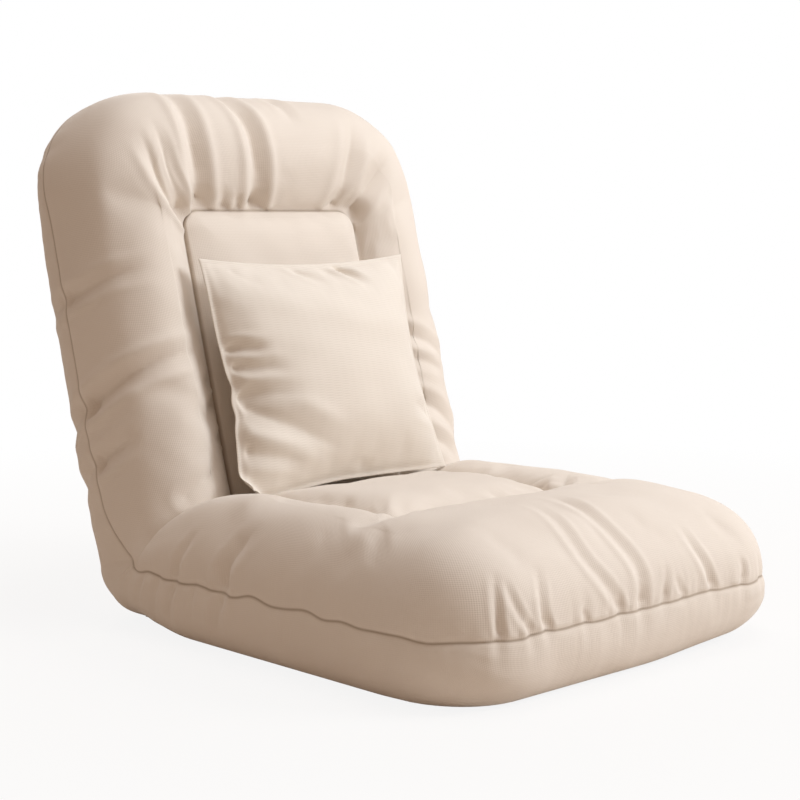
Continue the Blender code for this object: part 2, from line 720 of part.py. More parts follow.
# Zip and pillow.
def make_zip():
    """A zip across the rear cover, with its slider at the closed end and the pull hung at the slider's top."""
    skin = -BACK_SHELL_DEPTH - TOUCH
    face = skin - ZIP_THICKNESS
    half_width = ZIP_WIDTH / 2
    low, high = (-ZIP_LENGTH / 2, ZIP_S - half_width, face), (ZIP_LENGTH / 2, ZIP_S + half_width, skin)
    adopt(box("zip_tape", low, high), BACK, ZIP_TAPE)
    rest = ZIP_LENGTH / 2 - SLIDER_END_MARGIN
    axis = new_empty("zip_slider_axis", (rest, ZIP_S, face - TOUCH), parent=BACK)
    reach, rise = SLIDER_LENGTH / 2, SLIDER_WIDTH / 2
    slider = adopt(box("zip_slider", (-reach, -rise, -SLIDER_HEIGHT), (reach, rise, 0.0)), axis, ZINC_STEEL)
    edges = slider.modifiers.new("rounded_edges", "BEVEL")
    edges.width = SLIDER_HEIGHT / 4
    edges.segments = 2
    hang = new_empty("zip_pull_axis", (0, -rise - TOUCH - PULL_THICKNESS / 2, -SLIDER_HEIGHT), parent=axis)
    low = (-PULL_WIDTH / 2, -PULL_LENGTH, -PULL_THICKNESS / 2)
    high = (PULL_WIDTH / 2, TOUCH, PULL_THICKNESS / 2)
    adopt(box("zip_pull", low, high), hang, ZINC_STEEL)


def pillow_stand():
    """Where the pillow's lower edge and middle plane lie in the back's frame: on the seat, at the panel."""
    n = BACK_PANEL_HEIGHT + PILLOW_THICKNESS / 2 + PLUSH_GAP
    s = 0.0
    for _ in range(12):
        under = seat_height(PILLOW_WIDTH / 2, n * cos(LEAN) - s * sin(LEAN))
        s = (under + PLUSH_GAP - n * sin(LEAN)) / cos(LEAN)
    return s, n


def pillow_point(u, v, side):
    """A point of the pillow for u and v from -1 to 1: pointed corners, drawn-in sides and a crown."""
    x = u * (PILLOW_WIDTH / 2 - PILLOW_DRAW_IN * (1 - v * v))
    s = v * (PILLOW_HEIGHT / 2 - PILLOW_DRAW_IN * (1 - u * u))
    crown = ((1 - abs(u) ** 2.3) * (1 - abs(v) ** 2.3)) ** 0.6
    n = PILLOW_EDGE + (PILLOW_THICKNESS / 2 - PILLOW_EDGE) * crown
    return Vector((x, s, side * n))


def make_pillow():
    foot, n = pillow_stand()
    axis = new_empty("pillow_axis", (0, foot + PILLOW_HEIGHT / 2, n), parent=BACK)
    lines = both_sides(packed(0.0, 1.0, 6))
    columns = len(lines)
    bm = bmesh.new()
    bmesh.ops.create_grid(bm, x_segments=columns - 1, y_segments=columns - 1, size=1.0)
    bm.verts.ensure_lookup_table()
    places = [(lines[index % columns], lines[index // columns]) for index in range(columns**2)]
    for vert, (u, v) in zip(bm.verts, places):
        vert.co = pillow_point(u, v, -1)
    front = bmesh.ops.extrude_face_region(bm, geom=bm.faces[:])["geom"]
    for vert in new_verts(front):
        vert.co.z = -vert.co.z
    adopt(smooth(from_bmesh(bm, "pillow"), 60), axis, PILLOW_CLOTH)


def stand_on_origin():
    """Moves the hinge line so that the chair's box is centred on the origin."""
    bpy.context.view_layer.update()
    graph = bpy.context.evaluated_depsgraph_get()
    reach = []
    for obj in CHAIR.objects:
        if obj.type != "EMPTY":
            mesh = obj.evaluated_get(graph).to_mesh()
            reach += [(obj.matrix_world @ vert.co).y for vert in mesh.vertices]
    HINGE_LINE.location.y -= (min(reach) + max(reach)) / 2


make_soft_fill()
make_shell("seat_lower_cover", SEAT_SHELL, SEAT)
make_shell("back_rear_cover", BACK_SHELL, BACK)
make_lower_foam("seat_foam_lower", SEAT_SHELL, SEAT)
make_lower_foam("back_foam_rear", BACK_SHELL, BACK)
make_upper_foam("seat_foam_upper", SEAT_LENGTH, SEAT)
make_upper_foam("back_foam_front", BACK_LENGTH, BACK)
make_sling("seat_sling", SEAT_HOOP_X, SEAT_LENGTH, SEAT)
make_sling("back_sling", BACK_HOOP_X, BACK_LENGTH, BACK)
make_base_cloth()
make_corner_fill()
make_frame("seat", SEAT_HOOP_X, SEAT_LENGTH, SEAT_CROSS_BARS, SEAT)
make_frame("back", BACK_HOOP_X, BACK_LENGTH, BACK_CROSS_BARS, BACK)
make_hinge("left", 1)
make_hinge("right", -1)
make_zip()
make_pillow()
stand_on_origin()
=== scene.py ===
"""A padded folding floor chair: quilted covers over foam on a hinged tube frame, and a loose pillow."""

import bmesh
import bpy
import numpy as np
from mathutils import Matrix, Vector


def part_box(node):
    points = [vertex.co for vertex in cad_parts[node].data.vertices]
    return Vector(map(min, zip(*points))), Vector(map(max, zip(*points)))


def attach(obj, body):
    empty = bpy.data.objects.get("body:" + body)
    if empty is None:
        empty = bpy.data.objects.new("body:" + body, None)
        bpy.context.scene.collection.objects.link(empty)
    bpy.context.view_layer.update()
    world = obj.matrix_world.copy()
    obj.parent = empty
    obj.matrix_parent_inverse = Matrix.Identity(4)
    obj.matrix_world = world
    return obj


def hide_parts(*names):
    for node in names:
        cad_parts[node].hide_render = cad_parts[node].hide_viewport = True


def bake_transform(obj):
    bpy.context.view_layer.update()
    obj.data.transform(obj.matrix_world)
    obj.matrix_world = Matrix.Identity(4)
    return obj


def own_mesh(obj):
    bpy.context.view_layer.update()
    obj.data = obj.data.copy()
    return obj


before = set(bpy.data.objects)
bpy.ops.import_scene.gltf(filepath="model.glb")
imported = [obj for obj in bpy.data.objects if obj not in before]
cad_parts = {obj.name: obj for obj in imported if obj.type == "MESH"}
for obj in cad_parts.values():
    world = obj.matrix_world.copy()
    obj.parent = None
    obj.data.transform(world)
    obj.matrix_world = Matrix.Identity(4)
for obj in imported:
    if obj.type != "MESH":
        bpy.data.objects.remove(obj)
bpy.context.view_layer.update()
scene = bpy.context.scene

# Tube frame: two bent steel hoops with cross bars, powder-coated black against rust. The hoops are the chair's
# hidden bones, so only their finish is added to the solids that the frame already has.
PAINT = (0.022, 0.022, 0.024)


class Nodes:
    """The nodes of a material, or of the world, written as nested calls: each call adds a node and gives back its
    first output."""

    def __init__(self, name, kept_in=bpy.data.materials):
        self.material = kept_in.new(name)
        self.material.use_nodes = True
        self.tree = self.material.node_tree
        self.shader = self.tree.nodes.get("Principled BSDF")

    def add(self, kind, inputs=(), output=0, **settings):
        made = self.tree.nodes.new("ShaderNode" + kind)
        for key, value in settings.items():
            setattr(made, key, value)
        for key, value in dict(inputs).items():
            self.feed(made.inputs[key], value)
        return made.outputs[output]

    def feed(self, socket, value):
        if isinstance(value, bpy.types.NodeSocket):
            self.tree.links.new(value, socket)
        elif value is not None:
            socket.default_value = (*value, 1.0) if socket.type == "RGBA" else value

    def math(self, operation, a, b=None):
        return self.add("Math", {0: a, 1: b}, operation=operation)

    def noise(self, where, scale, detail=2.0, output=0):
        return self.add("TexNoise", {"Vector": where, "Scale": scale, "Detail": detail}, output)

    def between(self, value, low, high, from_low=0.0, from_high=1.0):
        return self.add("MapRange", {0: value, 1: from_low, 2: from_high, 3: low, 4: high})

    def mix(self, share, first, second):
        made = self.tree.nodes.new("ShaderNodeMix")
        made.data_type = "RGBA"
        self.feed(made.inputs[0], share)
        self.feed(made.inputs[6], first)
        self.feed(made.inputs[7], second)
        return made.outputs[2]

    def bump(self, height, strength, distance):
        return self.add("Bump", {"Height": height, "Strength": strength, "Distance": distance})

    def finish(self, **values):
        for key, value in values.items():
            self.feed(self.shader.inputs[key.replace("_", " ")], value)
        return self.material


def place_in_object(nodes):
    """Object coordinates, in metres."""
    return nodes.add("TexCoord", output=3)


def painted_steel():
    """Satin powder coat: orange-peel bump, and a little wear where the noise is high."""
    nodes = Nodes("painted_steel")
    where = place_in_object(nodes)
    peel = nodes.noise(where, 900.0)
    wear = nodes.between(nodes.noise(where, 60.0, 6.0), 0.0, 1.0, 0.62, 0.72)
    return nodes.finish(
        Base_Color=nodes.mix(wear, PAINT, (0.06, 0.06, 0.062)),
        Roughness=nodes.between(peel, 0.38, 0.52),
        Normal=nodes.bump(peel, 0.25, 0.0002),
        Specular_IOR_Level=0.45,
    )


def wear_finish(material, *names):
    """Gives the frame's own solids a finish."""
    for name in names:
        node = bpy.data.objects[name]
        node.data.materials.clear()
        node.data.materials.append(material)


wear_finish(
    painted_steel(),
    *[f"{half}_{bone}" for half in ("seat", "back") for bone in ("frame_hoop", "cross_bar_1", "cross_bar_2")],
)

# Ratchet hinges: pressed plates, pins, pawls and leaf springs, riveted up and zinc-plated. They come as solids of
# the right shape and get the plating's finish.
ZINC = (0.60, 0.60, 0.585)


def zinc_plate():
    """Zinc plating: cloudy spangle in its roughness and colour, and fine rolling lines along the plates."""
    nodes = Nodes("zinc_plate")
    where = place_in_object(nodes)
    spangle = nodes.noise(where, 160.0, 3.0)
    stretched = nodes.add("Mapping", {"Vector": where, "Scale": (1.0, 14.0, 1.0)})
    rolled = nodes.noise(stretched, 220.0, 2.0)
    return nodes.finish(
        Base_Color=nodes.mix(spangle, ZINC, (0.46, 0.46, 0.44)),
        Metallic=1.0,
        Roughness=nodes.between(spangle, 0.28, 0.46),
        Normal=nodes.bump(rolled, 0.15, 0.0002),
    )


ZINC_FINISH = zinc_plate()
wear_finish(
    ZINC_FINISH,
    *[
        f"{part}_{side}"
        for part in (
            "back_inner_cheek", "back_outer_cheek", "cheek_spacer", "pawl", "pawl_pin", "pawl_spring", "pivot_rivet",
            "seat_ratchet",
        )
        for side in ("left", "right")
    ],
)

# Frames of reference for the sewing: each half of the chair is worked out as x across it, s away from the hinge
# line along its tubes, and n square to them. The backrest's tubes lean 15.6 degrees back from the vertical.
rivet_low, rivet_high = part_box("pivot_rivet_left")
HINGE_Y = (rivet_low[1] + rivet_high[1]) / 2
HINGE_Z = (rivet_low[2] + rivet_high[2]) / 2
LEAN = np.radians(15.6)


def seat_place(local):
    """World points of the seat's (x, s, n)."""
    x, s, n = np.moveaxis(local, -1, 0)
    return np.stack([x, HINGE_Y - s, HINGE_Z + n], -1)


def back_place(local):
    """World points of the backrest's (x, s, n)."""
    x, s, n = np.moveaxis(local, -1, 0)
    y = HINGE_Y + s * np.sin(LEAN) - n * np.cos(LEAN)
    z = HINGE_Z + s * np.cos(LEAN) + n * np.sin(LEAN)
    return np.stack([x, y, z], -1)


# Slings: two sheets of grey needle felt, drawn taut over the hoops and sewn round the cross bars, that carry the
# foam. The bars hold their middle 0.2 mm above their edges.
FELT_THICKNESS = 0.0008
SLING_INSET = 0.001
SLING_RISE = 0.0002
BACK_SLING_LEVEL = 0.0098


def numbered(rows, columns):
    """The point numbers of a grid."""
    return np.arange(rows * columns).reshape(rows, columns)


def faces_between(index):
    """Four-sided faces between the neighbours of a grid of point numbers."""
    return np.stack([index[:-1, :-1], index[:-1, 1:], index[1:, 1:], index[1:, :-1]], -1).reshape(-1, 4)


def skin(name, points, uv=None, seam_shade=None):
    """A mesh over a grid of points, rows by columns, with its cloth UV in metres and its attribute of painted shade
    along the seams.
    """
    return mesh_of(name, points.reshape(-1, 3), faces_between(numbered(*points.shape[:2])), uv, seam_shade)


def mesh_of(name, points, faces, uv=None, seam_shade=None):
    """A smooth-shaded object at the origin, from points and faces given by point number."""
    mesh = bpy.data.meshes.new(name)
    mesh.from_pydata(points.tolist(), [], faces.tolist())
    if uv is not None:
        corner = np.zeros(len(mesh.loops), np.int32)
        mesh.loops.foreach_get("vertex_index", corner)
        layer = mesh.uv_layers.new(name="cloth")
        layer.data.foreach_set("uv", uv.reshape(-1, 2)[corner].astype(np.float32).ravel())
    if seam_shade is not None:
        layer = mesh.attributes.new("seam_shade", "FLOAT", "POINT")
        layer.data.foreach_set("value", seam_shade.reshape(-1).astype(np.float32))
    mesh.shade_smooth()
    obj = bpy.data.objects.new(name, mesh)
    scene.collection.objects.link(obj)
    return obj


def thickened(piece, thickness):
    """Gives a sheet its thickness, half of it to each side."""
    wall = piece.modifiers.new("thickness", "SOLIDIFY")
    wall.thickness = thickness
    wall.offset = 0.0


def run_length(line):
    """Distance along a line of points from its first one."""
    return np.concatenate([[0.0], np.cumsum(np.linalg.norm(np.diff(line, axis=0), axis=1))])


def needle_felt():
    """Grey felt: matted fibres as stretched noise in two directions."""
    nodes = Nodes("needle_felt")
    where = place_in_object(nodes)
    one = nodes.noise(nodes.add("Mapping", {"Vector": where, "Scale": (1.0, 6.0, 6.0)}), 320.0, 4.0)
    other = nodes.noise(nodes.add("Mapping", {"Vector": where, "Scale": (6.0, 1.0, 1.0)}), 320.0, 4.0)
    fibre = nodes.math("ADD", one, other)
    return nodes.finish(
        Base_Color=nodes.mix(nodes.between(fibre, 0.0, 1.0, 0.7, 1.3), (0.30, 0.30, 0.29), (0.50, 0.50, 0.48)),
        Roughness=0.95,
        Normal=nodes.bump(fibre, 0.5, 0.0008),
        Sheen_Weight=0.2,
    )


FELT = needle_felt()
for half, place in (("seat", seat_place), ("back", back_place)):
    low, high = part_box(f"{half}_sling")
    if half == "seat":
        start, end = HINGE_Y - high[1], HINGE_Y - low[1]
        level = low[2] - HINGE_Z
    else:
        start = (low[2] - HINGE_Z) / np.cos(LEAN)
        end = (high[2] - HINGE_Z) / np.cos(LEAN)
        level = BACK_SLING_LEVEL
    width = high[0]
    x, s = np.meshgrid(np.linspace(-width, width, 45), np.linspace(start + SLING_INSET, end - SLING_INSET, 60))
    crown = SLING_RISE * (2 - (x / width) ** 2)
    sling = skin(f"{half}_felt_sling", place(np.stack([x, s, level + crown], -1)), np.stack([x, s], -1))
    thickened(sling, FELT_THICKNESS)
    sling.data.materials.append(FELT)
    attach(sling, half)
    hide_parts(f"{half}_sling")

# Lower and rear cover: one plain panel of knitted upholstery cloth from the seat's front, under the frame, round
# the hinge and up the back of the backrest. Its edge is the side seam, where the two rolls' cloth is sewn on.
HALF_WIDTH = 0.330
LENGTH = 0.690
SEAT_CORNER = 0.115
BACK_CORNER = 0.165
SEAT_DEPTH = 0.0857
BACK_DEPTH = 0.082
SEAT_ROUND = 0.026
SEAT_FRONT_ROUND = 0.037
BACK_ROUND = 0.085
SEAM_TUCK = 0.0012
SEAM_REACH = 0.0035
SEAM_START = 0.052
FULLNESS = 2.2
MM = 1000


def swell(distance, reach, fullness=FULLNESS):
    """Rise of a stuffed edge, a superellipse: 0 and upright at distance 0, and 1 from reach inwards."""
    t = np.clip(distance / reach, 0.0, 1.0)
    return (1 - (1 - t) ** fullness) ** (1 / fullness)


def rounded_run(count, reach, crowd):
    """Distances from 0 to reach, at steps of angle round a superellipse that grow as share^crowd, so that the lines
    of a cloth lie close together at its seam."""
    return reach * (1 - np.cos(np.pi / 2 * np.linspace(0, 1, count) ** crowd) ** (2 / FULLNESS))


def lines_inwards(edge_count, reach, count, end):
    """Distances inwards from a seam: crowded round the edge as far as reach, and then even as far as end."""
    return np.concatenate([rounded_run(edge_count, reach, 1.9), np.linspace(reach, end, count)[1:]])


def ease(value):
    """0 below 0, 1 above 1, and a smooth step between."""
    t = np.clip(value, 0.0, 1.0)
    return t * t * (3 - 2 * t)


def plan_edge(x, s, corner):
    """Distance of a plan point inwards from the sides, the far end and their round corners, and the way out."""
    p = np.maximum(np.abs(x) - (HALF_WIDTH - corner), 0)
    q = np.maximum(s - (LENGTH - corner), 0)
    both = (p > 0) & (q > 0)
    to_side, to_end = HALF_WIDTH - np.abs(x), LENGTH - s
    distance = np.where(both, corner - np.hypot(p, q), np.minimum(to_side, to_end))
    side_out = np.stack([np.sign(x), np.zeros_like(x), np.zeros_like(x)], -1)
    end_out = np.stack([np.zeros_like(x), np.ones_like(x), np.zeros_like(x)], -1)
    round_out = np.stack([np.sign(x) * p, q, np.zeros_like(x)], -1) / np.maximum(np.hypot(p, q), 1e-9)[..., None]
    out = np.where((to_side < to_end)[..., None], side_out, end_out)
    return np.maximum(distance, 0), np.where(both[..., None], round_out, out)


def into_rounds(x, s, half, end, r):
    """Draws a grid's two far corners into rounds of radius r, as a square is drawn onto a disc."""
    p = np.clip((np.abs(x) - (half - r)) / r, 0, 1)
    q = np.clip((s - (end - r)) / r, 0, 1)
    x = np.sign(x) * (np.minimum(np.abs(x), half - r) + p * np.sqrt(1 - q * q / 2) * r)
    return x, np.minimum(s, end - r) + q * np.sqrt(1 - p * p / 2) * r


def corner_point(x, s, corner):
    """Distance from the nearest point where a corner of the rectangle lands on the round seam."""
    inset = corner * (1 - np.sqrt(0.5))
    return np.hypot(np.abs(x) - HALF_WIDTH + inset, s - LENGTH + inset)


def grid_normals(points):
    """Unit normals of a grid of points, columns' direction crossed with rows'."""
    normal = np.cross(np.gradient(points, axis=1), np.gradient(points, axis=0))
    return normal / np.maximum(np.linalg.norm(normal, axis=-1, keepdims=True), 1e-12)


def refined(grid):
    """A grid with twice the lines each way: new ones halfway, raised by the 4-point rule (9, 9, -1, -1) / 16."""
    for axis in (0, 1):
        g = np.moveaxis(grid, axis, 0)
        before = np.concatenate([2 * g[:1] - g[1:2], g[:-2]])
        after = np.concatenate([g[2:], 2 * g[-1:] - g[-2:-1]])
        half = (9 * (g[:-1] + g[1:]) - before - after) / 16
        fine = np.empty((2 * len(g) - 1, *g.shape[1:]))
        fine[::2], fine[1::2] = g, half
        grid = np.moveaxis(fine, 0, axis)
    return grid


def ripple(u, v, seed, waves, count=24):
    """Slow unevenness of stuffed cloth: the sum of seeded cosine waves whose lengths lie between waves."""
    rng = np.random.default_rng(seed)
    total = np.zeros(np.broadcast(u, v).shape)
    for _ in range(count):
        turn, phase = rng.uniform(0, 2 * np.pi, 2)
        length = rng.uniform(*waves)
        total += np.cos((u * np.cos(turn) + v * np.sin(turn)) * 2 * np.pi / length + phase)
    return total / np.sqrt(count)


def folds(local, lines):
    """Sum of the folds' height at each grid point. A fold runs along a line of (x, s, n) corners drawn onto the
    cloth, with a depth at its start and end, and a width, all in mm. Across it the cloth is -exp(-(d/w)^1.1), with
    a low swell on both sides: 0.3 of a gaussian at 2.1 w. It fades out over the last 0.45 of its line."""
    flat = local.reshape(-1, 3)
    total = np.zeros(len(flat))
    here = np.arange(len(flat))
    for corners, first, last, width in lines:
        corners = np.array(corners) / MM
        at = np.linspace(0, run_length(corners)[-1], 14)
        line = np.stack([np.interp(at, run_length(corners), corners[:, k]) for k in range(3)], 1)
        line = flat[np.linalg.norm(flat[:, None] - line, axis=-1).argmin(0)]
        for _ in range(4):
            line[1:-1] = (line[:-2] + 2 * line[1:-1] + line[2:]) / 4
        a, run = line[:-1], np.diff(line, axis=0)
        t = np.einsum("pk,mk->pm", flat, run) - np.einsum("mk,mk->m", a, run)
        t = np.clip(t / np.maximum(np.einsum("mk,mk->m", run, run), 1e-12), 0, 1)
        gap = np.linalg.norm(flat[:, None] - a - t[..., None] * run, axis=-1)
        nearest = gap.argmin(1)
        along = (nearest + t[here, nearest]) / len(run)
        q = gap[here, nearest] / (width / MM)
        size = (first + (last - first) * along) / MM * ease((1 - along) / 0.45)
        total += size * (-np.exp(-(q**1.1)) + 0.3 * np.exp(-(((q - 2.1) / 0.8) ** 2)))
    return total.reshape(local.shape[:-1])


def back_seam(s):
    """Height n of the side seam along the backrest: a little behind the tubes, and forwards at the crease."""
    at_crease = SEAM_START * np.clip(1 - s / 0.085, 0, 1) ** 1.6
    return at_crease - 0.008 * ease((s - 0.07) / 0.12) - 0.012 * ease((s - 0.48) / 0.14)


def seat_seam(x, s):
    """Height n of the seam round the seat: small jogs where its two cloths were pushed together."""
    return 0.0022 * ripple(x, s, 5, (0.05, 0.16), 10) - 0.002


def seam_slide(s):
    """How far the seat's seam is pushed forwards at the crease: sqrt(s^2 + start^2) - s, fading to the front."""
    return (np.hypot(s, SEAM_START) - s) * np.clip((0.40 - s) / 0.40, 0, 1)


def tucked(local, height, out, level, notches):
    """Draws a cover in along its seam: outwards -tuck * exp(-(height / reach)^2), and the seam to its level. At a
    notch, (x, s, depth, width) in mm, the cloths on both sides of the seam fold in together, over 28 mm each way."""
    x, s = local[..., 0], local[..., 1]
    near = SEAM_TUCK * np.exp(-((height / SEAM_REACH) ** 2))
    beside = np.exp(-((height / 0.028) ** 2))
    for notch_x, notch_s, depth, width in np.array(notches) / MM:
        away = np.hypot(x - notch_x, s - notch_s) / width
        near = near + depth * beside * (np.exp(-(away**1.6)) - 0.25 * np.exp(-(((away - 2) / 0.9) ** 2)))
    local = local - near[..., None] * out
    local[..., 2] += level
    return local


def bend_with_both(piece):
    """Bakes the piece's placement into its mesh."""
    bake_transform(piece)


SEAT_NOTCHES = [
    (-330, 100, 2, 7), (-330, 140, 3.5, 8), (-330, 190, 1.5, 8), (-330, 247, 5, 11), (-330, 420, 1.5, 14),
    (-262, 680, 3, 6), (-215, 690, 2.5, 6), (-187, 690, 3, 6), (-117, 690, 2, 6), (-52, 690, 2.8, 7),
    (-9, 690, 3, 8), (35, 690, 2.5, 7), (75, 690, 1.8, 6), (137, 690, 2.8, 8), (204, 690, 2.2, 7),
    (255, 682, 2, 7), (330, 460, 3, 10), (330, 300, 4, 11), (330, 180, 4.5, 10), (330, 110, 3, 9),
]
BACK_NOTCHES = [
    (-330, 383, 3, 12), (-330, 223, 6, 13), (-330, 140, 3, 12), (-310, 610, 1.5, 12), (-100, 690, 3, 15),
    (20, 690, 3, 14), (120, 690, 2, 14), (330, 345, 2, 12), (330, 205, 3, 13), (330, 120, 2.5, 12),
]
SIDE_FOLDS = [
    ([(-330, 62, -4), (-330, 60, -30), (-325, 55, -60)], 3, 1, 6),
    ([(-330, 100, -4), (-330, 100, -30), (-325, 98, -70)], 3, 1, 6),
    ([(-330, 140, -4), (-330, 138, -30), (-325, 136, -70)], 4.5, 1.5, 7),
    ([(-330, 185, -4), (-330, 186, -30), (-325, 188, -60)], 2.5, 1, 6),
    ([(-330, 245, -4), (-330, 243, -30), (-325, 240, -70)], 6, 2, 9),
    ([(330, 120, -4), (330, 118, -30), (325, 116, -70)], 4, 1.5, 7),
    ([(330, 215, -4), (330, 213, -30), (325, 210, -70)], 5, 1.5, 8),
]
REAR_FOLDS = [
    ([(-330, 383, -10), (-327, 374, -30), (-300, 365, -70)], 5.5, 2, 10),
    ([(-330, 223, -10), (-325, 205, -40), (-290, 185, -78)], 6.5, 3, 11),
    ([(-330, 140, -10), (-325, 122, -40), (-290, 100, -78)], 4.5, 3, 11),
    ([(330, 345, -10), (327, 335, -30), (300, 325, -70)], 6, 2, 10),
    ([(330, 205, -10), (325, 190, -40), (290, 175, -78)], 5, 3, 11),
    ([(-235, 45, -82), (-150, 62, -82), (-60, 55, -82)], 3, 1, 16),
    ([(245, 70, -82), (160, 52, -82), (40, 78, -82)], 3.5, 1, 18),
    ([(-150, 115, -82), (10, 135, -82), (130, 118, -82)], 1.5, 2.5, 17),
    ([(-255, 390, -82), (-170, 365, -82), (-110, 340, -82)], 2.5, 0.8, 15),
    ([(250, 440, -82), (190, 400, -82), (150, 345, -82)], 2.8, 1, 16),
    ([(-205, 600, -70), (-165, 540, -81), (-140, 470, -82)], 3.5, 0.8, 15),
    ([(195, 610, -68), (160, 550, -80), (120, 490, -82)], 3.5, 0.8, 16),
    ([(10, 640, -60), (15, 590, -80), (5, 520, -82)], 3, 0.6, 17),
    ([(330, 120, -10), (325, 105, -40), (290, 90, -78)], 4, 2, 11),
]

inwards = lines_inwards(34, BACK_ROUND, 36, HALF_WIDTH)
x_line = np.concatenate([inwards - HALF_WIDTH, (HALF_WIDTH - inwards)[-2::-1]])
front = LENGTH - lines_inwards(30, SEAT_FRONT_ROUND, 190, LENGTH)
rise = LENGTH - lines_inwards(34, BACK_ROUND, 150, LENGTH)

# The seat's half: its underside, with a tighter edge at the sides than at the front, and the widest at the right
# front corner. The side walls bulge by 5 mm, and by 2.5 mm more towards the crease.
SIDE_FULLNESS = 2.5
RIGHT_CORNER_ROUND = 0.044
NEAR_CREASE = 0.16
x, s = into_rounds(*np.meshgrid(x_line, front), HALF_WIDTH, LENGTH, SEAT_CORNER)
edge, out = plan_edge(x, s, SEAT_CORNER)
roundness = SEAT_ROUND + (SEAT_FRONT_ROUND - SEAT_ROUND) * ease((s - 0.52) / 0.12)
roundness = roundness + RIGHT_CORNER_ROUND * ease((x - 0.02) / 0.25) * ease((s - 0.40) / 0.20)
tight = swell(edge, roundness, SIDE_FULLNESS)
loose = swell(HALF_WIDTH - np.abs(x), BACK_ROUND, SIDE_FULLNESS)
hollow = tight + (loose - tight) * ease((NEAR_CREASE - s) / NEAR_CREASE)
height = SEAT_DEPTH * hollow
local = np.stack([x, s, -height], -1)
bulge = (0.0052 + 0.0025 * ease((0.42 - s) / 0.2)) * np.sin(np.pi * np.clip(hollow, 0, 1)) ** 0.8
local = local + (bulge * ease((0.05 - edge) / 0.05))[..., None] * out
local = tucked(local, height, out, seat_seam(x, s) * (1 - hollow) ** 2, SEAT_NOTCHES)
lead = (1 - hollow) ** 1.5
seat_rows = seat_place(local)
seat_rows[..., 1] -= seam_slide(s) * lead
seat_rows[..., 2] += 0.005 * lead * ease(1 - s / 0.06)
seat_depth = 1.3 * folds(local, SIDE_FOLDS)
seat_from_point = corner_point(x, s, SEAT_CORNER)
seat_near = height

# The backrest's half: its rear face, squarer at the sides than at the top, and quiet round the zip.
x, s = into_rounds(*np.meshgrid(x_line, rise[::-1]), HALF_WIDTH, LENGTH, BACK_CORNER)
edge, out = plan_edge(x, s, BACK_CORNER)
hollow = swell(edge, BACK_ROUND, 2.85 - 0.85 * ease((s - 0.38) / 0.22))
height = BACK_DEPTH * hollow
local = np.stack([x, s, -height], -1)
lead = (1 - hollow) ** 1.5
local = tucked(local, height, out, back_seam(s) * lead, BACK_NOTCHES)
back_rows = back_place(local)
back_depth = 1.4 * folds(local, REAR_FOLDS)
ZIP_S = 0.300
beside_zip = ease((np.maximum(np.abs(x) - 0.240, np.abs(s - ZIP_S) - 0.016)) / 0.03)

# Round the hinge: an arc about its line, whose radius and shifts go over from the seat's last row to the back's
# first.
turn = np.linspace(0, np.pi / 2 - LEAN, 40)[1:-1][:, None]
share = turn / (np.pi / 2 - LEAN)
radius = seat_near[-1] * (1 - share) + height[0] * share
arc_y, arc_z = HINGE_Y + radius * np.sin(turn), HINGE_Z - radius * np.cos(turn)
around = np.stack([np.broadcast_to(x_line, radius.shape), arc_y, arc_z], -1)
seat_shift = seat_rows[-1] - np.stack([x_line, np.full_like(x_line, HINGE_Y), HINGE_Z - seat_near[-1]], -1)
back_base = back_place(np.stack([x_line, np.zeros_like(x_line), -height[0]], -1))
back_shift = back_rows[0] - back_base
around = around + seat_shift * (1 - share)[..., None] + back_shift * share[..., None]

even = np.ones(radius.shape)
points = np.concatenate([seat_rows, around, back_rows])
near = np.concatenate([seat_near, radius, height])
run = np.broadcast_to(run_length(points[:, len(x_line) // 2])[:, None], near.shape)
across = np.broadcast_to(run_length(points[len(front) // 2])[None], near.shape)
fade = ease(near / 0.05)
depth = np.concatenate([seat_depth, 0 * radius, back_depth * beside_zip]) * ease(near / 0.014)
from_point = np.concatenate([seat_from_point, even, corner_point(x, s, BACK_CORNER)])
calm = np.concatenate([ease((SEAT_DEPTH - seat_near) / 0.02), even, beside_zip])
depth = depth + 0.0014 * fade * calm * (ripple(across, run, 11, (0.07, 0.20)) - 0.1)
drape = ripple(np.where(np.abs(x_line) > 0.215, run, 3 * x_line), 0 * run, 12, (0.018, 0.050), 16)
depth = depth + 0.0011 * drape * ease(near / 0.012) * np.exp(-near / 0.035) * calm
depth = depth * ease(from_point / 0.03)
points = points - grid_normals(points) * depth[..., None]
# Width of the painted shade along the outer seams.
OUTER_SEAM_SHADE = 0.0016


def seam_shade_band(distance, width):
    """Painted shade along a seam: a gaussian of the distance from it."""
    return np.exp(-((distance / width) ** 2))


# Painted shade along the cover's seam.
seam_shade = seam_shade_band(near, OUTER_SEAM_SHADE)
wrap = skin("lower_and_rear_cover", points[::-1], np.stack([across, run], -1)[::-1], seam_shade[::-1])


def shade(colour, *shares):
    """A colour with each of its channels at a share."""
    return tuple(channel * share for channel, share in zip(colour, shares))


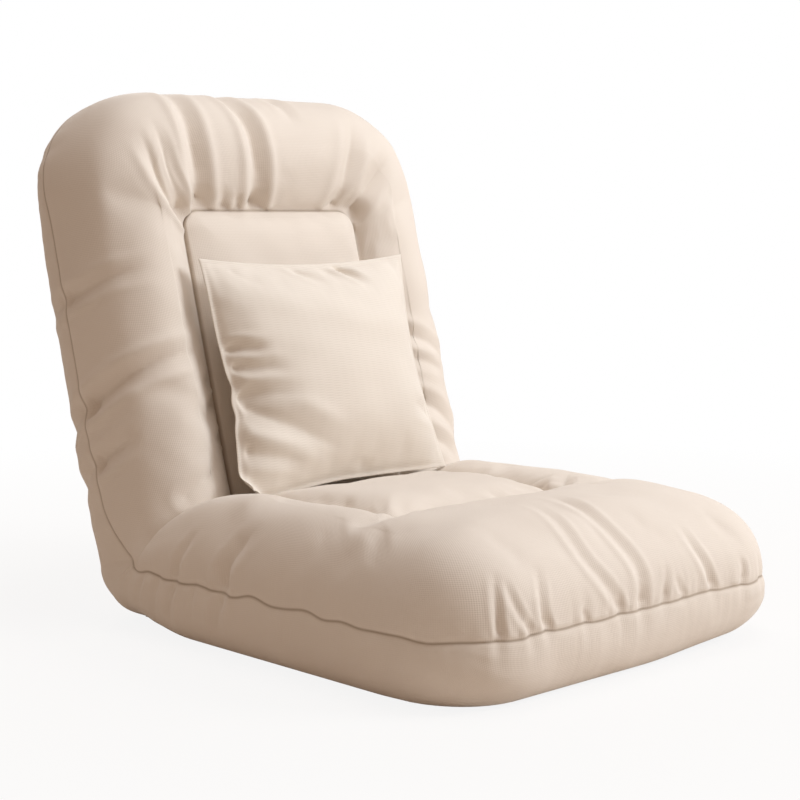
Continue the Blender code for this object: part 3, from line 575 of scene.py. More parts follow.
def cover_cloth(name, colour, rib, dimple, tilt, relief=0.35):
    """Knitted upholstery cloth on the piece's own UV in metres: dimples at a pitch, as the product of two sine
    waves, in thread-scale noise. The knit's hollows and the seam lines are painted darker as shade, and the dye
    varies slowly."""
    nodes = Nodes(name)
    uv = nodes.add("UVMap", uv_map="cloth")
    where = place_in_object(nodes)
    wobble = nodes.add("VectorMath", {0: nodes.noise(where, 9.0, 1.0, output=1), "Scale": 0.004}, operation="SCALE")
    uv = nodes.add("VectorMath", {0: uv, 1: wobble}, operation="ADD")
    turned = nodes.add("Mapping", {"Vector": uv, "Rotation": (0, 0, tilt)})
    parts = nodes.add("SeparateXYZ", {0: turned})
    u = nodes.math("SINE", nodes.math("MULTIPLY", parts, 2 * np.pi / dimple))
    v = nodes.math("SINE", nodes.math("MULTIPLY", parts.node.outputs[1], 2 * np.pi / rib))
    knit = nodes.math("MULTIPLY", u, v)
    thread = nodes.noise(where, 1500.0, 2.0)
    height = nodes.math("ADD", nodes.between(knit, 0.0, 1.0, -1.0, 1.0), nodes.math("MULTIPLY", thread, 0.35))
    cloud = nodes.noise(where, 5.0, 3.0)
    plain = nodes.mix(nodes.between(cloud, 0.0, 1.0, 0.3, 0.7), colour, shade(colour, 0.955, 0.955, 0.955))
    # Painted shade in the knit's hollows: the colour darkens where the knit's height is low.
    hollow_shaded = nodes.mix(nodes.between(height, 0.30, 0.0, 0.15, 0.85), plain, shade(colour, 0.83, 0.81, 0.78))
    # Painted shade along the seams, read from the mesh attribute: the cloth is mixed towards a dark shaded tone.
    line = nodes.add("Attribute", attribute_name="seam_shade", output=2)
    sewn = nodes.mix(nodes.math("MULTIPLY", line, 0.75), hollow_shaded, shade(colour, 0.42, 0.35, 0.28))
    return nodes.finish(
        Base_Color=sewn,
        Roughness=0.92,
        Normal=nodes.bump(height, relief, 0.0005),
        Sheen_Weight=0.25,
        Sheen_Roughness=0.45,
        Specular_IOR_Level=0.25,
    )


CREAM = (0.78, 0.705, 0.625)
COVER = cover_cloth("cover_knit", CREAM, rib=0.0036, dimple=0.0036, tilt=np.pi / 4)
wrap.data.materials.append(COVER)
bend_with_both(wrap)
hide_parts("seat_lower_cover", "rear_corner_fill", "back_rear_cover", "seat_foam_lower", "back_foam_rear")

# Seat roll: one tube-like pad of the same cloth round three sides of the seat, filled with fibre over foam. It is
# sewn to the lower cover outside and to the centre pad inside, and both seams gather its cloth.
PANEL_HALF = 0.1675
PANEL_ROUND = 0.030
SEAT_REAR = 0.036
REAR_TUCK = 0.004
REAR_FALL = 0.185
SEAT_PANEL_END = 0.395
SEAT_PANEL_LEVEL = 0.081
SEAT_ROLL_RISE = 0.110
# Width of the painted shade along the inner seams.
INNER_SEAM_SHADE = 0.0022


def horseshoe(start, corner, panel_end, arm, bend, middle):
    """Plan points of a roll on a grid: rows go in from the outer seam to the panel's, and columns go round the
    left arm, the corner, the far end and back. Both seams are straight runs and quarter circles. 28 rows round the
    edge, over 110 mm or 0.7 of the way in, and 36 more, even, lead to the panel."""
    share = np.linspace(0, 1, arm, endpoint=False)
    turn = np.linspace(0, np.pi / 2, bend, endpoint=False)
    span = np.linspace(-1, 1, middle)

    def seam_line(half, far, r):
        arm_x, arm_s = np.full(arm, -half), start + (far - r - start) * share
        bend_x, bend_s = -(half - r) - r * np.cos(turn), far - r + r * np.sin(turn)
        left = np.stack([np.concatenate([arm_x, bend_x]), np.concatenate([arm_s, bend_s])], -1)
        end = np.stack([(half - r) * span, np.full(middle, far)], -1)
        return np.concatenate([left, end, (left * (-1, 1))[::-1]])

    outer = seam_line(HALF_WIDTH, LENGTH, corner)
    inner = seam_line(PANEL_HALF, panel_end, PANEL_ROUND)
    length = np.linalg.norm(inner - outer, axis=1)
    near = rounded_run(28, 1.0, 1.4)[:, None] * np.minimum(0.11, 0.7 * length)
    rest = np.linspace(0, 1, 37)[1:, None]
    distance = np.concatenate([near, near[-1] + (length - near[-1]) * rest])
    plan = outer + (inner - outer) * (distance / length)[..., None]
    return plan[..., 0], plan[..., 1], length - distance


def smoothed(grid, times):
    """A grid whose inner points are averaged with their neighbours along both directions, times over."""
    grid = grid.copy()
    for _ in range(times):
        grid[1:-1] = (grid[:-2] + 2 * grid[1:-1] + grid[2:]) / 4
        grid[:, 1:-1] = (grid[:, :-2] + 2 * grid[:, 1:-1] + grid[:, 2:]) / 4
    return grid


def inflated(name, points, pressure, slack, room, held=None, faces=None):
    """A cloth simulation of a stuffed cover: the cloth is cut larger by slack, pressure fills it, held points
    stay, and no point moves further than its room. Gives the points where they come to rest. A grid of points is
    held along its four edges, and its movement is smoothed. The pressure is below zero for a grid whose faces look
    down in (x, s, n), as the rolls' do."""
    is_grid = faces is None
    if is_grid:
        faces = faces_between(numbered(*points.shape[:2]))
        held = np.ones(points.shape[:2], bool)
        held[1:-1, 1:-1] = False
    flat = points.reshape(-1, 3)
    pattern = mesh_of(name + "_pattern", flat, faces)
    sewn = pattern.vertex_groups.new(name="sewn")
    sewn.add(np.flatnonzero(held.reshape(-1)).tolist(), 1.0, "REPLACE")
    cloth = pattern.modifiers.new("stuffing", "CLOTH")
    settings = cloth.settings
    settings.quality = 6
    settings.mass = 0.1
    settings.tension_stiffness = settings.compression_stiffness = 15.0
    settings.shear_stiffness = 5.0
    settings.bending_stiffness = 0.6
    settings.use_pressure = True
    settings.uniform_pressure_force = pressure
    settings.shrink_min = settings.shrink_max = -slack
    settings.effector_weights.gravity = 0.0
    settings.vertex_group_mass = "sewn"
    cloth.collision_settings.use_collision = False
    cloth.point_cache.frame_start, cloth.point_cache.frame_end = 1, 20
    for step in range(1, 21):
        scene.frame_set(step)
    at_rest = np.zeros(flat.size, np.float32)
    pattern.evaluated_get(bpy.context.evaluated_depsgraph_get()).data.vertices.foreach_get("co", at_rest)
    scene.frame_set(1)
    mesh = pattern.data
    bpy.data.objects.remove(pattern)
    bpy.data.meshes.remove(mesh)
    move = at_rest.reshape(flat.shape) - flat
    if is_grid:
        move = smoothed(move.reshape(points.shape), 3).reshape(flat.shape)
    far = np.maximum(np.linalg.norm(move, axis=1, keepdims=True), 1e-9)
    cap = np.maximum(np.broadcast_to(room, points.shape[:-1]).reshape(-1, 1), 1e-6)
    move = move * (cap * np.tanh(far / cap) / far)
    return (flat + move).reshape(points.shape)


def gathers(run, rise, seed, waves, depth, reach):
    """Gathered cloth beside a seam: depth * (|noise(run)| - 0.6) * exp(-rise / reach), where the noise is a sum of
    seeded cosines along the seam, so that its valleys are sharp and its ridges round."""
    return depth * (np.abs(ripple(run, 0 * run, seed, waves, 16)) - 0.6) * np.exp(-rise / reach)


def roll_height(edge, inside, panel_level, crown, rounding, valley_width):
    """Height of a roll: its crown times swell(distance from the outer seam / rounding), less a valley beside the
    panel, (crown - panel) / (1 + (distance from the panel / width)^2)^1.5."""
    valley = (crown - panel_level) / (1 + (inside / valley_width) ** 2) ** 1.5
    return (crown - valley) * swell(edge, rounding)


def run_and_climb(local):
    """Distances along a roll, measured on the row a third of the way in, and up from its outer seam."""
    run = np.broadcast_to(run_length(local[len(local) // 3]), local.shape[:-1])
    return run, np.cumsum(np.linalg.norm(np.diff(local, axis=0, prepend=local[:1]), axis=-1), axis=0)


x, s, inside = horseshoe(SEAT_REAR, SEAT_CORNER, SEAT_PANEL_END, arm=72, bend=32, middle=84)
edge, out = plan_edge(x, s, SEAT_CORNER)
rounding = 0.125 + 0.035 * ease((x - 0.05) / 0.20) * ease((s - 0.45) / 0.18)
height = roll_height(edge, inside, SEAT_PANEL_LEVEL, SEAT_ROLL_RISE, rounding, 0.027)
height = height * swell(s - SEAT_REAR + REAR_TUCK, REAR_FALL)
level = seat_seam(x, s) * (1 - swell(edge, 0.04)) ** 2
local = tucked(np.stack([x, s, height], -1), height, out, level, SEAT_NOTCHES)
moved = refined(inflated("seat_roll", local, -4.0, 0.014, 0.009 * ease(edge / 0.07) * ease(inside / 0.04)))
local, edge, inside, x, s = (refined(g) for g in (local, edge, inside, x, s))
run, climb = run_and_climb(local)

SEAT_FOLDS = [
    ([(-330, 140, 0), (-323, 150, 31), (-297, 178, 69)], 6.72, 3.3, 6.4),
    ([(-330, 249, 0), (-327, 245, 23), (-304, 275, 67), (-284, 292, 85)], 11.2, 4.4, 10.4),
    ([(-258, 678, 5), (-258, 670, 44), (-241, 650, 78)], 5.6, 2.2, 4.8),
    ([(-215, 688, 0), (-236, 680, 33), (-241, 656, 73)], 4.48, 2.2, 4.8),
    ([(-187, 690, 0), (-196, 686, 28), (-177, 661, 76)], 5.6, 2.2, 5.6),
    ([(-117, 690, 0), (-124, 688, 20)], 3.36, 1.1, 4),
    ([(-52, 690, 0), (-49, 689, 17), (-74, 684, 38), (-102, 669, 67), (-88, 613, 103),
      (-45, 528, 112)], 4.48, 4.4, 7.2),
    ([(-9, 690, 0), (2, 689, 18), (-1, 683, 43), (-16, 663, 76), (-20, 618, 101), (10, 500, 112)], 5.6, 6.6, 8),
    ([(35, 690, 0), (44, 686, 30), (53, 678, 53)], 4.48, 1.1, 4.8),
    ([(75, 690, 0), (60, 685, 34)], 3.36, 1.1, 4.8),
    ([(137, 690, 0), (130, 687, 27), (117, 677, 57), (115, 646, 88)], 5.6, 3.3, 6.4),
    ([(204, 689, 0), (211, 687, 14), (205, 680, 40)], 4.48, 1.1, 4.8),
    ([(172, 400, 80), (191, 380, 110), (240, 360, 110)], 8.96, 2.2, 9.6),
    ([(-160, 410, 80), (-200, 450, 110), (-240, 470, 110)], 8.96, 2.2, 9.6),
    ([(-60, 395, 70), (-50, 440, 105)], 7.84, 3.3, 8),
    ([(60, 395, 70), (75, 440, 105), (90, 480, 112)], 8.96, 2.2, 8.8),
    ([(130, 395, 70), (150, 450, 105), (180, 500, 110)], 8.96, 2.2, 8.8),
    ([(330, 180, 0), (325, 190, 31), (300, 210, 69)], 7.84, 3.3, 8),
]
depth = folds(local, SEAT_FOLDS) * ease(climb / 0.014) * ease(inside / 0.006)
ends = ease((s - SEAT_REAR) / 0.10)
front = ease((s - 0.52) / 0.10)
depth += gathers(run, climb, 21, (0.012, 0.045), 0.0007 + 0.0011 * front, 0.016) * ease(climb / 0.006)
depth += gathers(run, inside, 22, (0.050, 0.130), 0.0030, 0.026) * ease(inside / 0.008)
depth += 0.0012 * ripple(x, s, 23, (0.07, 0.18)) * ease(edge / 0.05) * ease(inside / 0.03)
points = seat_place(moved)
points = points + grid_normals(points) * (depth * ends)[..., None]
points[..., 1] -= seam_slide(s) * (1 - swell(edge, 0.05)) ** 1.5
# Painted shade along both seams of the roll.
seam_shade = seam_shade_band(climb, OUTER_SEAM_SHADE) + seam_shade_band(inside, INNER_SEAM_SHADE)
seat_roll = skin("seat_roll", points, np.stack([run, climb], -1), seam_shade)
seat_roll.data.materials.append(COVER)
bend_with_both(seat_roll)
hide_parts("seat_bolster", "seat_foam_upper")

# Seat centre pad: a flat box of foam under its own panel, sewn into the roll on three sides, its rear edge under
# the backrest. The seam pulls its edge down, so it crowns like a shallow cushion.


def panel_grid(start, end, level, crown, rows, columns):
    """Local points of a panel inside a roll: x and s on a grid, closer at its seams and drawn into its two round
    far corners. It rises from the seam's level to the crown's as swell(distance from the seam / 0.07)."""
    across = np.linspace(0, np.pi, columns)
    x_line = -PANEL_HALF * (0.55 * np.cos(across) + 0.45 * np.linspace(1, -1, columns))
    share = 0.5 * np.sin(np.linspace(0, np.pi / 2, rows)) + 0.5 * np.linspace(0, 1, rows)
    x, s = into_rounds(*np.meshgrid(x_line, start + (end - start) * share), PANEL_HALF, end, PANEL_ROUND)
    p, q = np.abs(x) - (PANEL_HALF - PANEL_ROUND), s - (end - PANEL_ROUND)
    in_corner = PANEL_ROUND - np.hypot(p, q)
    inside = np.where((p > 0) & (q > 0), in_corner, np.minimum(PANEL_HALF - np.abs(x), end - s))
    inside = np.maximum(inside, 0)
    return x, s, inside, level + (crown - level) * swell(inside, 0.07)


SEAT_PAD_RISE = 0.106
SAT_IN = 0.011
x, s, inside, height = panel_grid(SEAT_REAR, SEAT_PANEL_END, SEAT_PANEL_LEVEL, SEAT_PAD_RISE, 60, 56)
height -= SAT_IN * ease(inside / 0.07) * (1 - ease((s - 0.13) / 0.16))
height = height * swell(s - SEAT_REAR + REAR_TUCK, REAR_FALL)
moved = refined(inflated("seat_pad", np.stack([x, s, height], -1), 4.0, 0.012, 0.008 * ease(inside / 0.04)))
x, s, inside = (refined(g) for g in (x, s, inside))
SEAT_PAD_FOLDS = [
    ([(168, 330, 80), (130, 312, 100), (95, 300, 100)], 7, 1, 8),
    ([(-168, 300, 80), (-127, 280, 100)], 4, 1, 9),
    ([(60, 395, 70), (55, 345, 95)], 6, 1, 10),
]
depth = folds(moved, SEAT_PAD_FOLDS) * ease(inside / 0.010)
depth += gathers(x + s, inside, 31, (0.06, 0.14), 0.0010, 0.018) * ease(inside / 0.008)
depth += 0.0010 * ripple(x, s, 33, (0.08, 0.20)) * ease(inside / 0.03)
points = seat_place(moved)
points = points - grid_normals(points) * (depth * ease((s - SEAT_REAR) / 0.1))[..., None]
# Painted shade along the pad's seam.
seam_shade = seam_shade_band(inside, INNER_SEAM_SHADE) * (s > SEAT_REAR + 0.01)
seat_pad = skin("seat_pad", points[::-1], np.stack([x, s], -1)[::-1], seam_shade[::-1])
seat_pad.data.materials.append(COVER)
bend_with_both(seat_pad)
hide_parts("seat_centre_pad")

# Back roll: the same kind of roll up both sides of the backrest and over its top, thicker at the head end. The
# cloth is longer than the foam, so it folds across the arms and fans out from the panel's top corners.
BACK_START = -0.012
BACK_PANEL_END = 0.490
BACK_PANEL_LEVEL = 0.084
BACK_ROLL_RISE = 0.122

x, s, inside = horseshoe(BACK_START, BACK_CORNER, BACK_PANEL_END, arm=74, bend=32, middle=44)
edge, out = plan_edge(x, s, BACK_CORNER)
height = roll_height(edge, inside, BACK_PANEL_LEVEL, BACK_ROLL_RISE, 0.110, 0.023)
level = back_seam(s) * (1 - swell(edge, 0.06)) ** 1.5
local = tucked(np.stack([x, s, height], -1), height, out, level, BACK_NOTCHES)
moved = refined(inflated("back_roll", local, -4.0, 0.014, 0.010 * ease(edge / 0.075) * ease(inside / 0.04)))
local, edge, inside, x, s = (refined(g) for g in (local, edge, inside, x, s))
run, climb = run_and_climb(local)

BACK_FOLDS = [
    ([(-175, 478, 100), (-187, 485, 112), (-214, 522, 120), (-228, 570, 116), (-234, 600, 105)], 21, 6, 10),
    ([(-165, 486, 100), (-185, 509, 112), (-198, 542, 118), (-205, 586, 115), (-210, 623, 103)], 13, 5, 8),
    ([(-137, 492, 100), (-144, 523, 115), (-148, 588, 118), (-146, 645, 97), (-140, 668, 75),
      (-138, 686, 30)], 17, 13, 12),
    ([(-30, 490, 90), (-33, 546, 115), (-35, 613, 112), (-43, 654, 90), (-45, 675, 60),
      (-46, 688, 20)], 20, 15, 12),
    ([(50, 665, 80), (57, 642, 100), (55, 610, 115)], 6, 2, 10),
    ([(132, 490, 94), (143, 525, 115), (164, 594, 115), (185, 640, 98)], 13, 6, 13),
    ([(160, 485, 94), (172, 505, 112), (219, 549, 115), (250, 580, 105)], 16, 5, 12),
    ([(-89, 490, 90), (-96, 523, 112)], 6, 2, 7),
    ([(-59, 490, 90), (-69, 510, 110)], 6, 2, 7),
    ([(-330, 383, 0), (-310, 390, 68), (-288, 398, 93), (-237, 395, 115)], 11, 3, 10),
    ([(-330, 223, 0), (-317, 244, 54), (-283, 262, 96), (-227, 274, 118), (-182, 274, 105)], 21, 11, 12),
    ([(-330, 140, 0), (-317, 159, 54), (-295, 169, 86)], 16, 3, 11),
    ([(-265, 71, 108), (-202, 110, 115)], 4, 4, 10),
    ([(-172, 235, 100), (-200, 225, 115)], 5, 1, 7),
    ([(-172, 200, 100), (-205, 190, 115)], 6, 1, 8),
    ([(-172, 150, 100), (-200, 145, 115)], 5, 1, 7),
    ([(205, 282, 116), (250, 264, 122), (290, 244, 112), (312, 230, 85)], 9, 3, 10),
    ([(205, 240, 116), (250, 228, 122), (290, 212, 112)], 5, 2, 9),
    ([(200, 176, 116), (250, 152, 122), (290, 122, 112), (315, 104, 85)], 11, 3, 11),
    ([(200, 120, 116), (250, 96, 122), (290, 64, 112)], 8, 3, 10),
    ([(172, 360, 100), (205, 352, 116)], 5, 1, 9),
]
depth = folds(local, BACK_FOLDS) * ease(climb / 0.014) * ease(inside / 0.006)
depth += gathers(run, inside, 42, (0.060, 0.150), 0.0007, 0.022) * ease(inside / 0.008)
depth += gathers(run, climb, 41, (0.040, 0.110), 0.0010, 0.020) * ease(climb / 0.006)
depth += 0.0012 * ripple(x, s, 43, (0.07, 0.18)) * ease(edge / 0.05) * ease(inside / 0.03)
points = back_place(moved)
points = points - grid_normals(points) * (depth * ease((s - BACK_START) / 0.05))[..., None]
# Painted shade along both seams of the roll.
seam_shade = seam_shade_band(climb, OUTER_SEAM_SHADE) + seam_shade_band(inside, INNER_SEAM_SHADE)
back_roll = skin("back_roll", points[::-1], np.stack([run, climb], -1)[::-1], seam_shade[::-1])
back_roll.data.materials.append(COVER)
bend_with_both(back_roll)
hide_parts("back_bolster", "back_foam_front")

# Back centre panel: the plain middle of the backrest under the same cloth, sewn in below the roll's crown with less
# filling. It runs down behind the pillow into the crease.
BACK_PANEL_RISE = 0.099
x, s, inside, height = panel_grid(BACK_START, BACK_PANEL_END, BACK_PANEL_LEVEL, BACK_PANEL_RISE, 76, 56)
moved = refined(inflated("back_panel", np.stack([x, s, height], -1), 3.0, 0.010, 0.005 * ease(inside / 0.04)))
x, s, inside = (refined(g) for g in (x, s, inside))
depth = gathers(x + s, inside, 51, (0.05, 0.12), 0.0012, 0.016) * ease(inside / 0.008)
depth += 0.0010 * ripple(x, s, 53, (0.05, 0.14)) * ease(inside / 0.03)
points = back_place(moved)
points = points + grid_normals(points) * depth[..., None]
# Painted shade along the panel's seam.
seam_shade = seam_shade_band(inside, INNER_SEAM_SHADE) * (s > BACK_START + 0.01)
back_panel = skin("back_panel", points, np.stack([x, s], -1), seam_shade)
back_panel.data.materials.append(COVER)
bend_with_both(back_panel)
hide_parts("back_centre_panel")

# Pillow: a loose lumbar cushion of ribbed cloth, knife-edged with a flat seam allowance all round, stuffed with
# fibre. It leans on the backrest and sits on the crease, with its near lower corner curled up.
PILLOW_S = 0.2305
PILLOW_N = 0.1486
PILLOW_HALF_X = 0.200
PILLOW_HALF_S = 0.1725
WELT = 0.008
WELT_HALF = 0.0016
STUFFING_HALF = 0.0555
CREAM_RIB = (0.80, 0.735, 0.655)


def pillow_sheet(u, v):
    """Half thickness: 1.6 mm, plus 55.5 mm * ((1 - |a|^2.3)(1 - |b|^2.3))^0.62, where a and b reach 1 where the
    flat welt starts."""
    a = np.clip(np.abs(u) / (1 - WELT / PILLOW_HALF_X), 0, 1)
    b = np.clip(np.abs(v) / (1 - WELT / PILLOW_HALF_S), 0, 1)
    return WELT_HALF + STUFFING_HALF * ((1 - a**2.3) * (1 - b**2.3)) ** 0.62


def edge_crowded(count):
    """-1 to 1, closer at both ends: 0.65 of an even line and 0.35 of a sine."""
    return np.sin(np.linspace(-np.pi / 2, np.pi / 2, count)) * 0.35 + np.linspace(-1, 1, count) * 0.65


def bump_at(v, middle, width):
    """A gaussian of v about its middle."""
    return np.exp(-(((v - middle) / width) ** 2))


# Two faces share the points of their edge. Their sides are drawn in between the corners, and the near side swells
# out above its middle, with two small dents below.
u, v = np.meshgrid(edge_crowded(84), edge_crowded(74))
half = pillow_sheet(u, v)
half[[0, -1]] = half[:, [0, -1]] = 0.0
x = u * (PILLOW_HALF_X - 0.014 * (1 - v * v))
s = v * (PILLOW_HALF_S - np.where(v > 0, 0.013, 0.002) * (1 - u * u))
side_swell = 0.006 * bump_at(v, 0.35, 0.40) - 0.005 * bump_at(v, -0.10, 0.07) - 0.004 * bump_at(v, -0.33, 0.06)
x = x - ease((-u - 0.55) / 0.45) * side_swell
face = np.stack([x, s, half], -1)
rows, columns = u.shape
upper = numbered(rows, columns)
under = upper.copy()
under[1:-1, 1:-1] = rows * columns + numbered(rows - 2, columns - 2)
both = np.concatenate([face.reshape(-1, 3), (face * (1, 1, -1))[1:-1, 1:-1].reshape(-1, 3)])
faces = np.concatenate([faces_between(upper), faces_between(under)[:, ::-1]])
u_all, v_all = (np.concatenate([grid.ravel(), grid[1:-1, 1:-1].ravel()]) for grid in (u, v))
from_edge = np.minimum((1 - np.abs(u_all)) * PILLOW_HALF_X, (1 - np.abs(v_all)) * PILLOW_HALF_S)
stuffed = inflated("pillow", both, 5.0, 0.022, 0.012, from_edge < WELT * 0.9, faces)
for part, shape in ((slice(0, rows * columns), u.shape), (slice(rows * columns, None), (rows - 2, columns - 2))):
    stuffed[part] = both[part] + smoothed((stuffed - both)[part].reshape(*shape, 3), 4).reshape(-1, 3)

PILLOW_FOLDS = [
    ([(-190, 36, 15), (-165, 33, 35), (-125, 26, 48)], 21, 2, 7),
    ([(-186, 6, 18), (-150, 4, 42), (-100, -6, 52)], 13, 2, 8),
    ([(-182, -26, 18), (-140, -34, 44), (-80, -46, 53)], 16, 3, 10),
    ([(-170, -50, 25), (-110, -82, 45), (-60, -112, 40), (-20, -135, 30)], 16, 6, 15),
    ([(-178, -105, 15), (-130, -118, 30), (-80, -140, 25)], 9, 3, 10),
    ([(50, 162, 10), (72, 142, 30), (92, 116, 42)], 28, 2, 8),
    ([(20, 160, 12), (30, 145, 28), (45, 128, 38)], 6, 1, 8),
    ([(-40, 162, 10), (-15, 143, 30), (15, 128, 40)], 16, 2, 8),
    ([(-150, 150, 15), (-120, 120, 35)], 4, 1, 12),
    ([(178, 30, 20), (150, 22, 35)], 6, 1, 8),
    ([(178, -85, 18), (140, -80, 35), (100, -66, 45)], 8, 2, 10),
    ([(20, -160, 12), (10, -140, 30)], 5, 1, 10),
]
depth = np.concatenate([
    folds(both[: rows * columns].reshape(rows, columns, 3), PILLOW_FOLDS).ravel(),
    np.zeros((rows - 2) * (columns - 2)),
])
depth += 0.0010 * ripple(u_all, v_all, 61, (0.3, 0.9)) * ease(from_edge / 0.03)
stuffed[:, 2] += depth * ease((from_edge - WELT * 0.7) / 0.01)

# The rear face is flattened against the backrest. The near lower corner is drawn out and curls forwards.
PILLOW_REAR = 0.041
rear = stuffed[:, 2] < 0
stuffed[rear, 2] = -PILLOW_REAR * np.tanh(-stuffed[rear, 2] / PILLOW_REAR)
curl = ease((np.clip(-u_all, 0, 1) + np.clip(-v_all, 0, 1) - 1.72) / 0.28)
low_left = ease(-u_all) * ease(-v_all)
stuffed = stuffed + low_left[:, None] * np.array([-0.008, -0.014, 0.004])
stuffed = stuffed + curl[:, None] * np.array([0.006, 0.016, 0.028])
stuffed[:, 0] += 0.010 * ease((u_all + 1) / 2) * ease((0.2 - v_all) / 1.2)
local = stuffed + (0.0, PILLOW_S, PILLOW_N)
# Painted shade along the line where the flat welt meets the stuffed faces.
welt_seam_shade = 0.35 * seam_shade_band(from_edge - WELT, 0.0010)
pillow = mesh_of("lumbar_pillow", back_place(local), faces, both[:, :2], welt_seam_shade)
smoother = pillow.modifiers.new("finer", "SUBSURF")
smoother.levels = smoother.render_levels = 1
pillow.data.materials.append(cover_cloth("pillow_rib", CREAM_RIB, rib=0.0036, dimple=0.030, tilt=0.0, relief=0.22))
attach(pillow, "pillow")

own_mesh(pillow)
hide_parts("pillow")

# Zip: a nylon coil on woven tape across the rear cover, through which the foam goes in. The tape is stitched down
# along both edges, and a die-cast slider with a pressed pull runs on the coil.
ZIP_FACE = -0.0835
ZIP_REACH = 0.222
TAPE_STITCH = 0.0108
SLIDER_X = 0.210


def tape_cloth(name, dark, light, roughness):
    """Woven tape in the cover's colour: a cross weave as the product of two sine waves over object x and z."""
    nodes = Nodes(name)
    parts = nodes.add("SeparateXYZ", {0: place_in_object(nodes)})
    over, up = (
        nodes.math("SINE", nodes.math("MULTIPLY", axis, 2 * np.pi / 0.0011))
        for axis in (parts, parts.node.outputs[2])
    )
    weave = nodes.between(nodes.math("MULTIPLY", over, up), 0.0, 1.0, -1.0, 1.0)
    return nodes.finish(
        Base_Color=nodes.mix(weave, dark, light), Roughness=roughness, Normal=nodes.bump(weave, 0.5, 0.0004)
    )


def ring_faces(rows, columns, closed_rows=False):
    """Faces of a grid whose columns join round, and whose rows join too where it is a ring."""
    index = numbered(rows, columns)
    index = np.concatenate([index, index[:, :1]], 1)
    return faces_between(np.concatenate([index, index[:1]]) if closed_rows else index)


def around_section(rows, last_row, columns):
    """Angles over a shape's rows, from 0 to last_row, and round its columns."""
    return np.meshgrid(
        np.linspace(0, last_row, rows), np.linspace(0, 2 * np.pi, columns, endpoint=False), indexing="ij"
    )


def sharpened(wave, power):
    """sign(wave) * |wave|^power: squarer than the wave below 1."""
    return np.sign(wave) * np.abs(wave) ** power


def repeated(points, faces, shifts):
    """One shape set down at every shift."""
    count = len(points)
    many = (points[None] + shifts[:, None]).reshape(-1, 3)
    return many, (faces[None] + count * np.arange(len(shifts))[:, None, None]).reshape(-1, 4)


def rounded_block(centre, half, power, rows=14, columns=32):
    """A superellipsoid: each coordinate is half * sign(w) * |w|^power of a point w on the unit sphere, from one pole
    to the other."""
    down, round_ = around_section(rows, np.pi, columns)
    level = np.sin(down).round(9)
    unit = np.stack([level * np.cos(round_), level * np.sin(round_), -np.cos(down)], -1)
    return centre + half * sharpened(unit, power).reshape(-1, 3), ring_faces(rows, columns)


def joined(*parts):
    """Several shapes as one mesh's points and faces."""
    starts = np.cumsum([0] + [len(points) for points, _ in parts])
    faces = [faces + start for (_, faces), start in zip(parts, starts)]
    return np.concatenate([points for points, _ in parts]), np.concatenate(faces)


def coil():
    """Two helices of nylon thread, half a pitch apart and meshed at the middle: each loop is 3.4 mm wide and 1.5 mm
    high, at a pitch of 1.5 mm, and stands on the tape."""
    pitch, thread, overlap = 0.0015, 0.00034, 0.0006
    turn, side = around_section(10, 2 * np.pi, 5)
    line_s, line_n = 0.0017 * np.cos(turn), -0.00075 * np.sin(turn)
    loop = np.stack([
        pitch * turn / (2 * np.pi) + thread * np.sin(side),
        line_s + thread * np.cos(side) * np.cos(turn),
        line_n - thread * np.cos(side) * np.sin(turn),
    ], -1).reshape(-1, 3)
    starts = np.arange(-ZIP_REACH, ZIP_REACH, pitch)
    ends = np.stack([starts, np.full_like(starts, ZIP_S), np.full_like(starts, ZIP_FACE - 0.0008)], -1)
    half_way = ends + (pitch / 2, 0.0, 0.0)
    first = repeated(loop + (0.0, overlap, 0.0), ring_faces(10, 5), ends)
    second = repeated(loop * (1, -1, 1) - (0.0, overlap, 0.0), ring_faces(10, 5)[:, ::-1], half_way)
    return joined(first, second)


def stitches():
    """Two rows of lock stitches along the tape's edges: 2.6 mm long, at a pitch of 3.6 mm."""
    one, faces = rounded_block(np.zeros(3), np.array([0.0013, 0.00032, 0.00028]), 0.9, 6, 8)
    x = np.arange(-ZIP_REACH, ZIP_REACH, 0.0036)
    rows = np.stack([x, np.full_like(x, ZIP_S), np.full_like(x, ZIP_FACE - 0.0001)], -1)
    return repeated(one, faces, np.concatenate([rows + (0.0, side * TAPE_STITCH, 0.0) for side in (-1, 1)]))


def slider_casting():
    """A body pinched to a waist, two rolled flanges along it, and an arched bridge that holds the pull."""
    middle = np.array([SLIDER_X, ZIP_S, ZIP_FACE - 0.0015])
    body, faces = rounded_block(middle, np.array([0.0055, 0.0043, 0.0010]), 0.55, 16, 40)
    waist = 0.22 * bump_at(body[:, 0], SLIDER_X - 0.0025, 0.0028)
    body[:, 1] = ZIP_S + (body[:, 1] - ZIP_S) * (1 - waist)
    flanges = [
        rounded_block(middle + (0.0, side * 0.0038, 0.0002), np.array([0.0046, 0.0007, 0.0012]), 0.8)
        for side in (-1, 1)
    ]
    sweep, side = around_section(16, np.pi, 8)
    arch = np.stack([
        SLIDER_X + 0.0006 * np.cos(side),
        ZIP_S - (0.0036 + 0.0006 * np.sin(side)) * np.cos(sweep),
        ZIP_FACE - 0.0020 - (0.0010 + 0.0006 * np.sin(side)) * np.sin(sweep),
    ], -1).reshape(-1, 3)
    return joined((body, faces), *flanges, (arch, ring_faces(16, 8)))


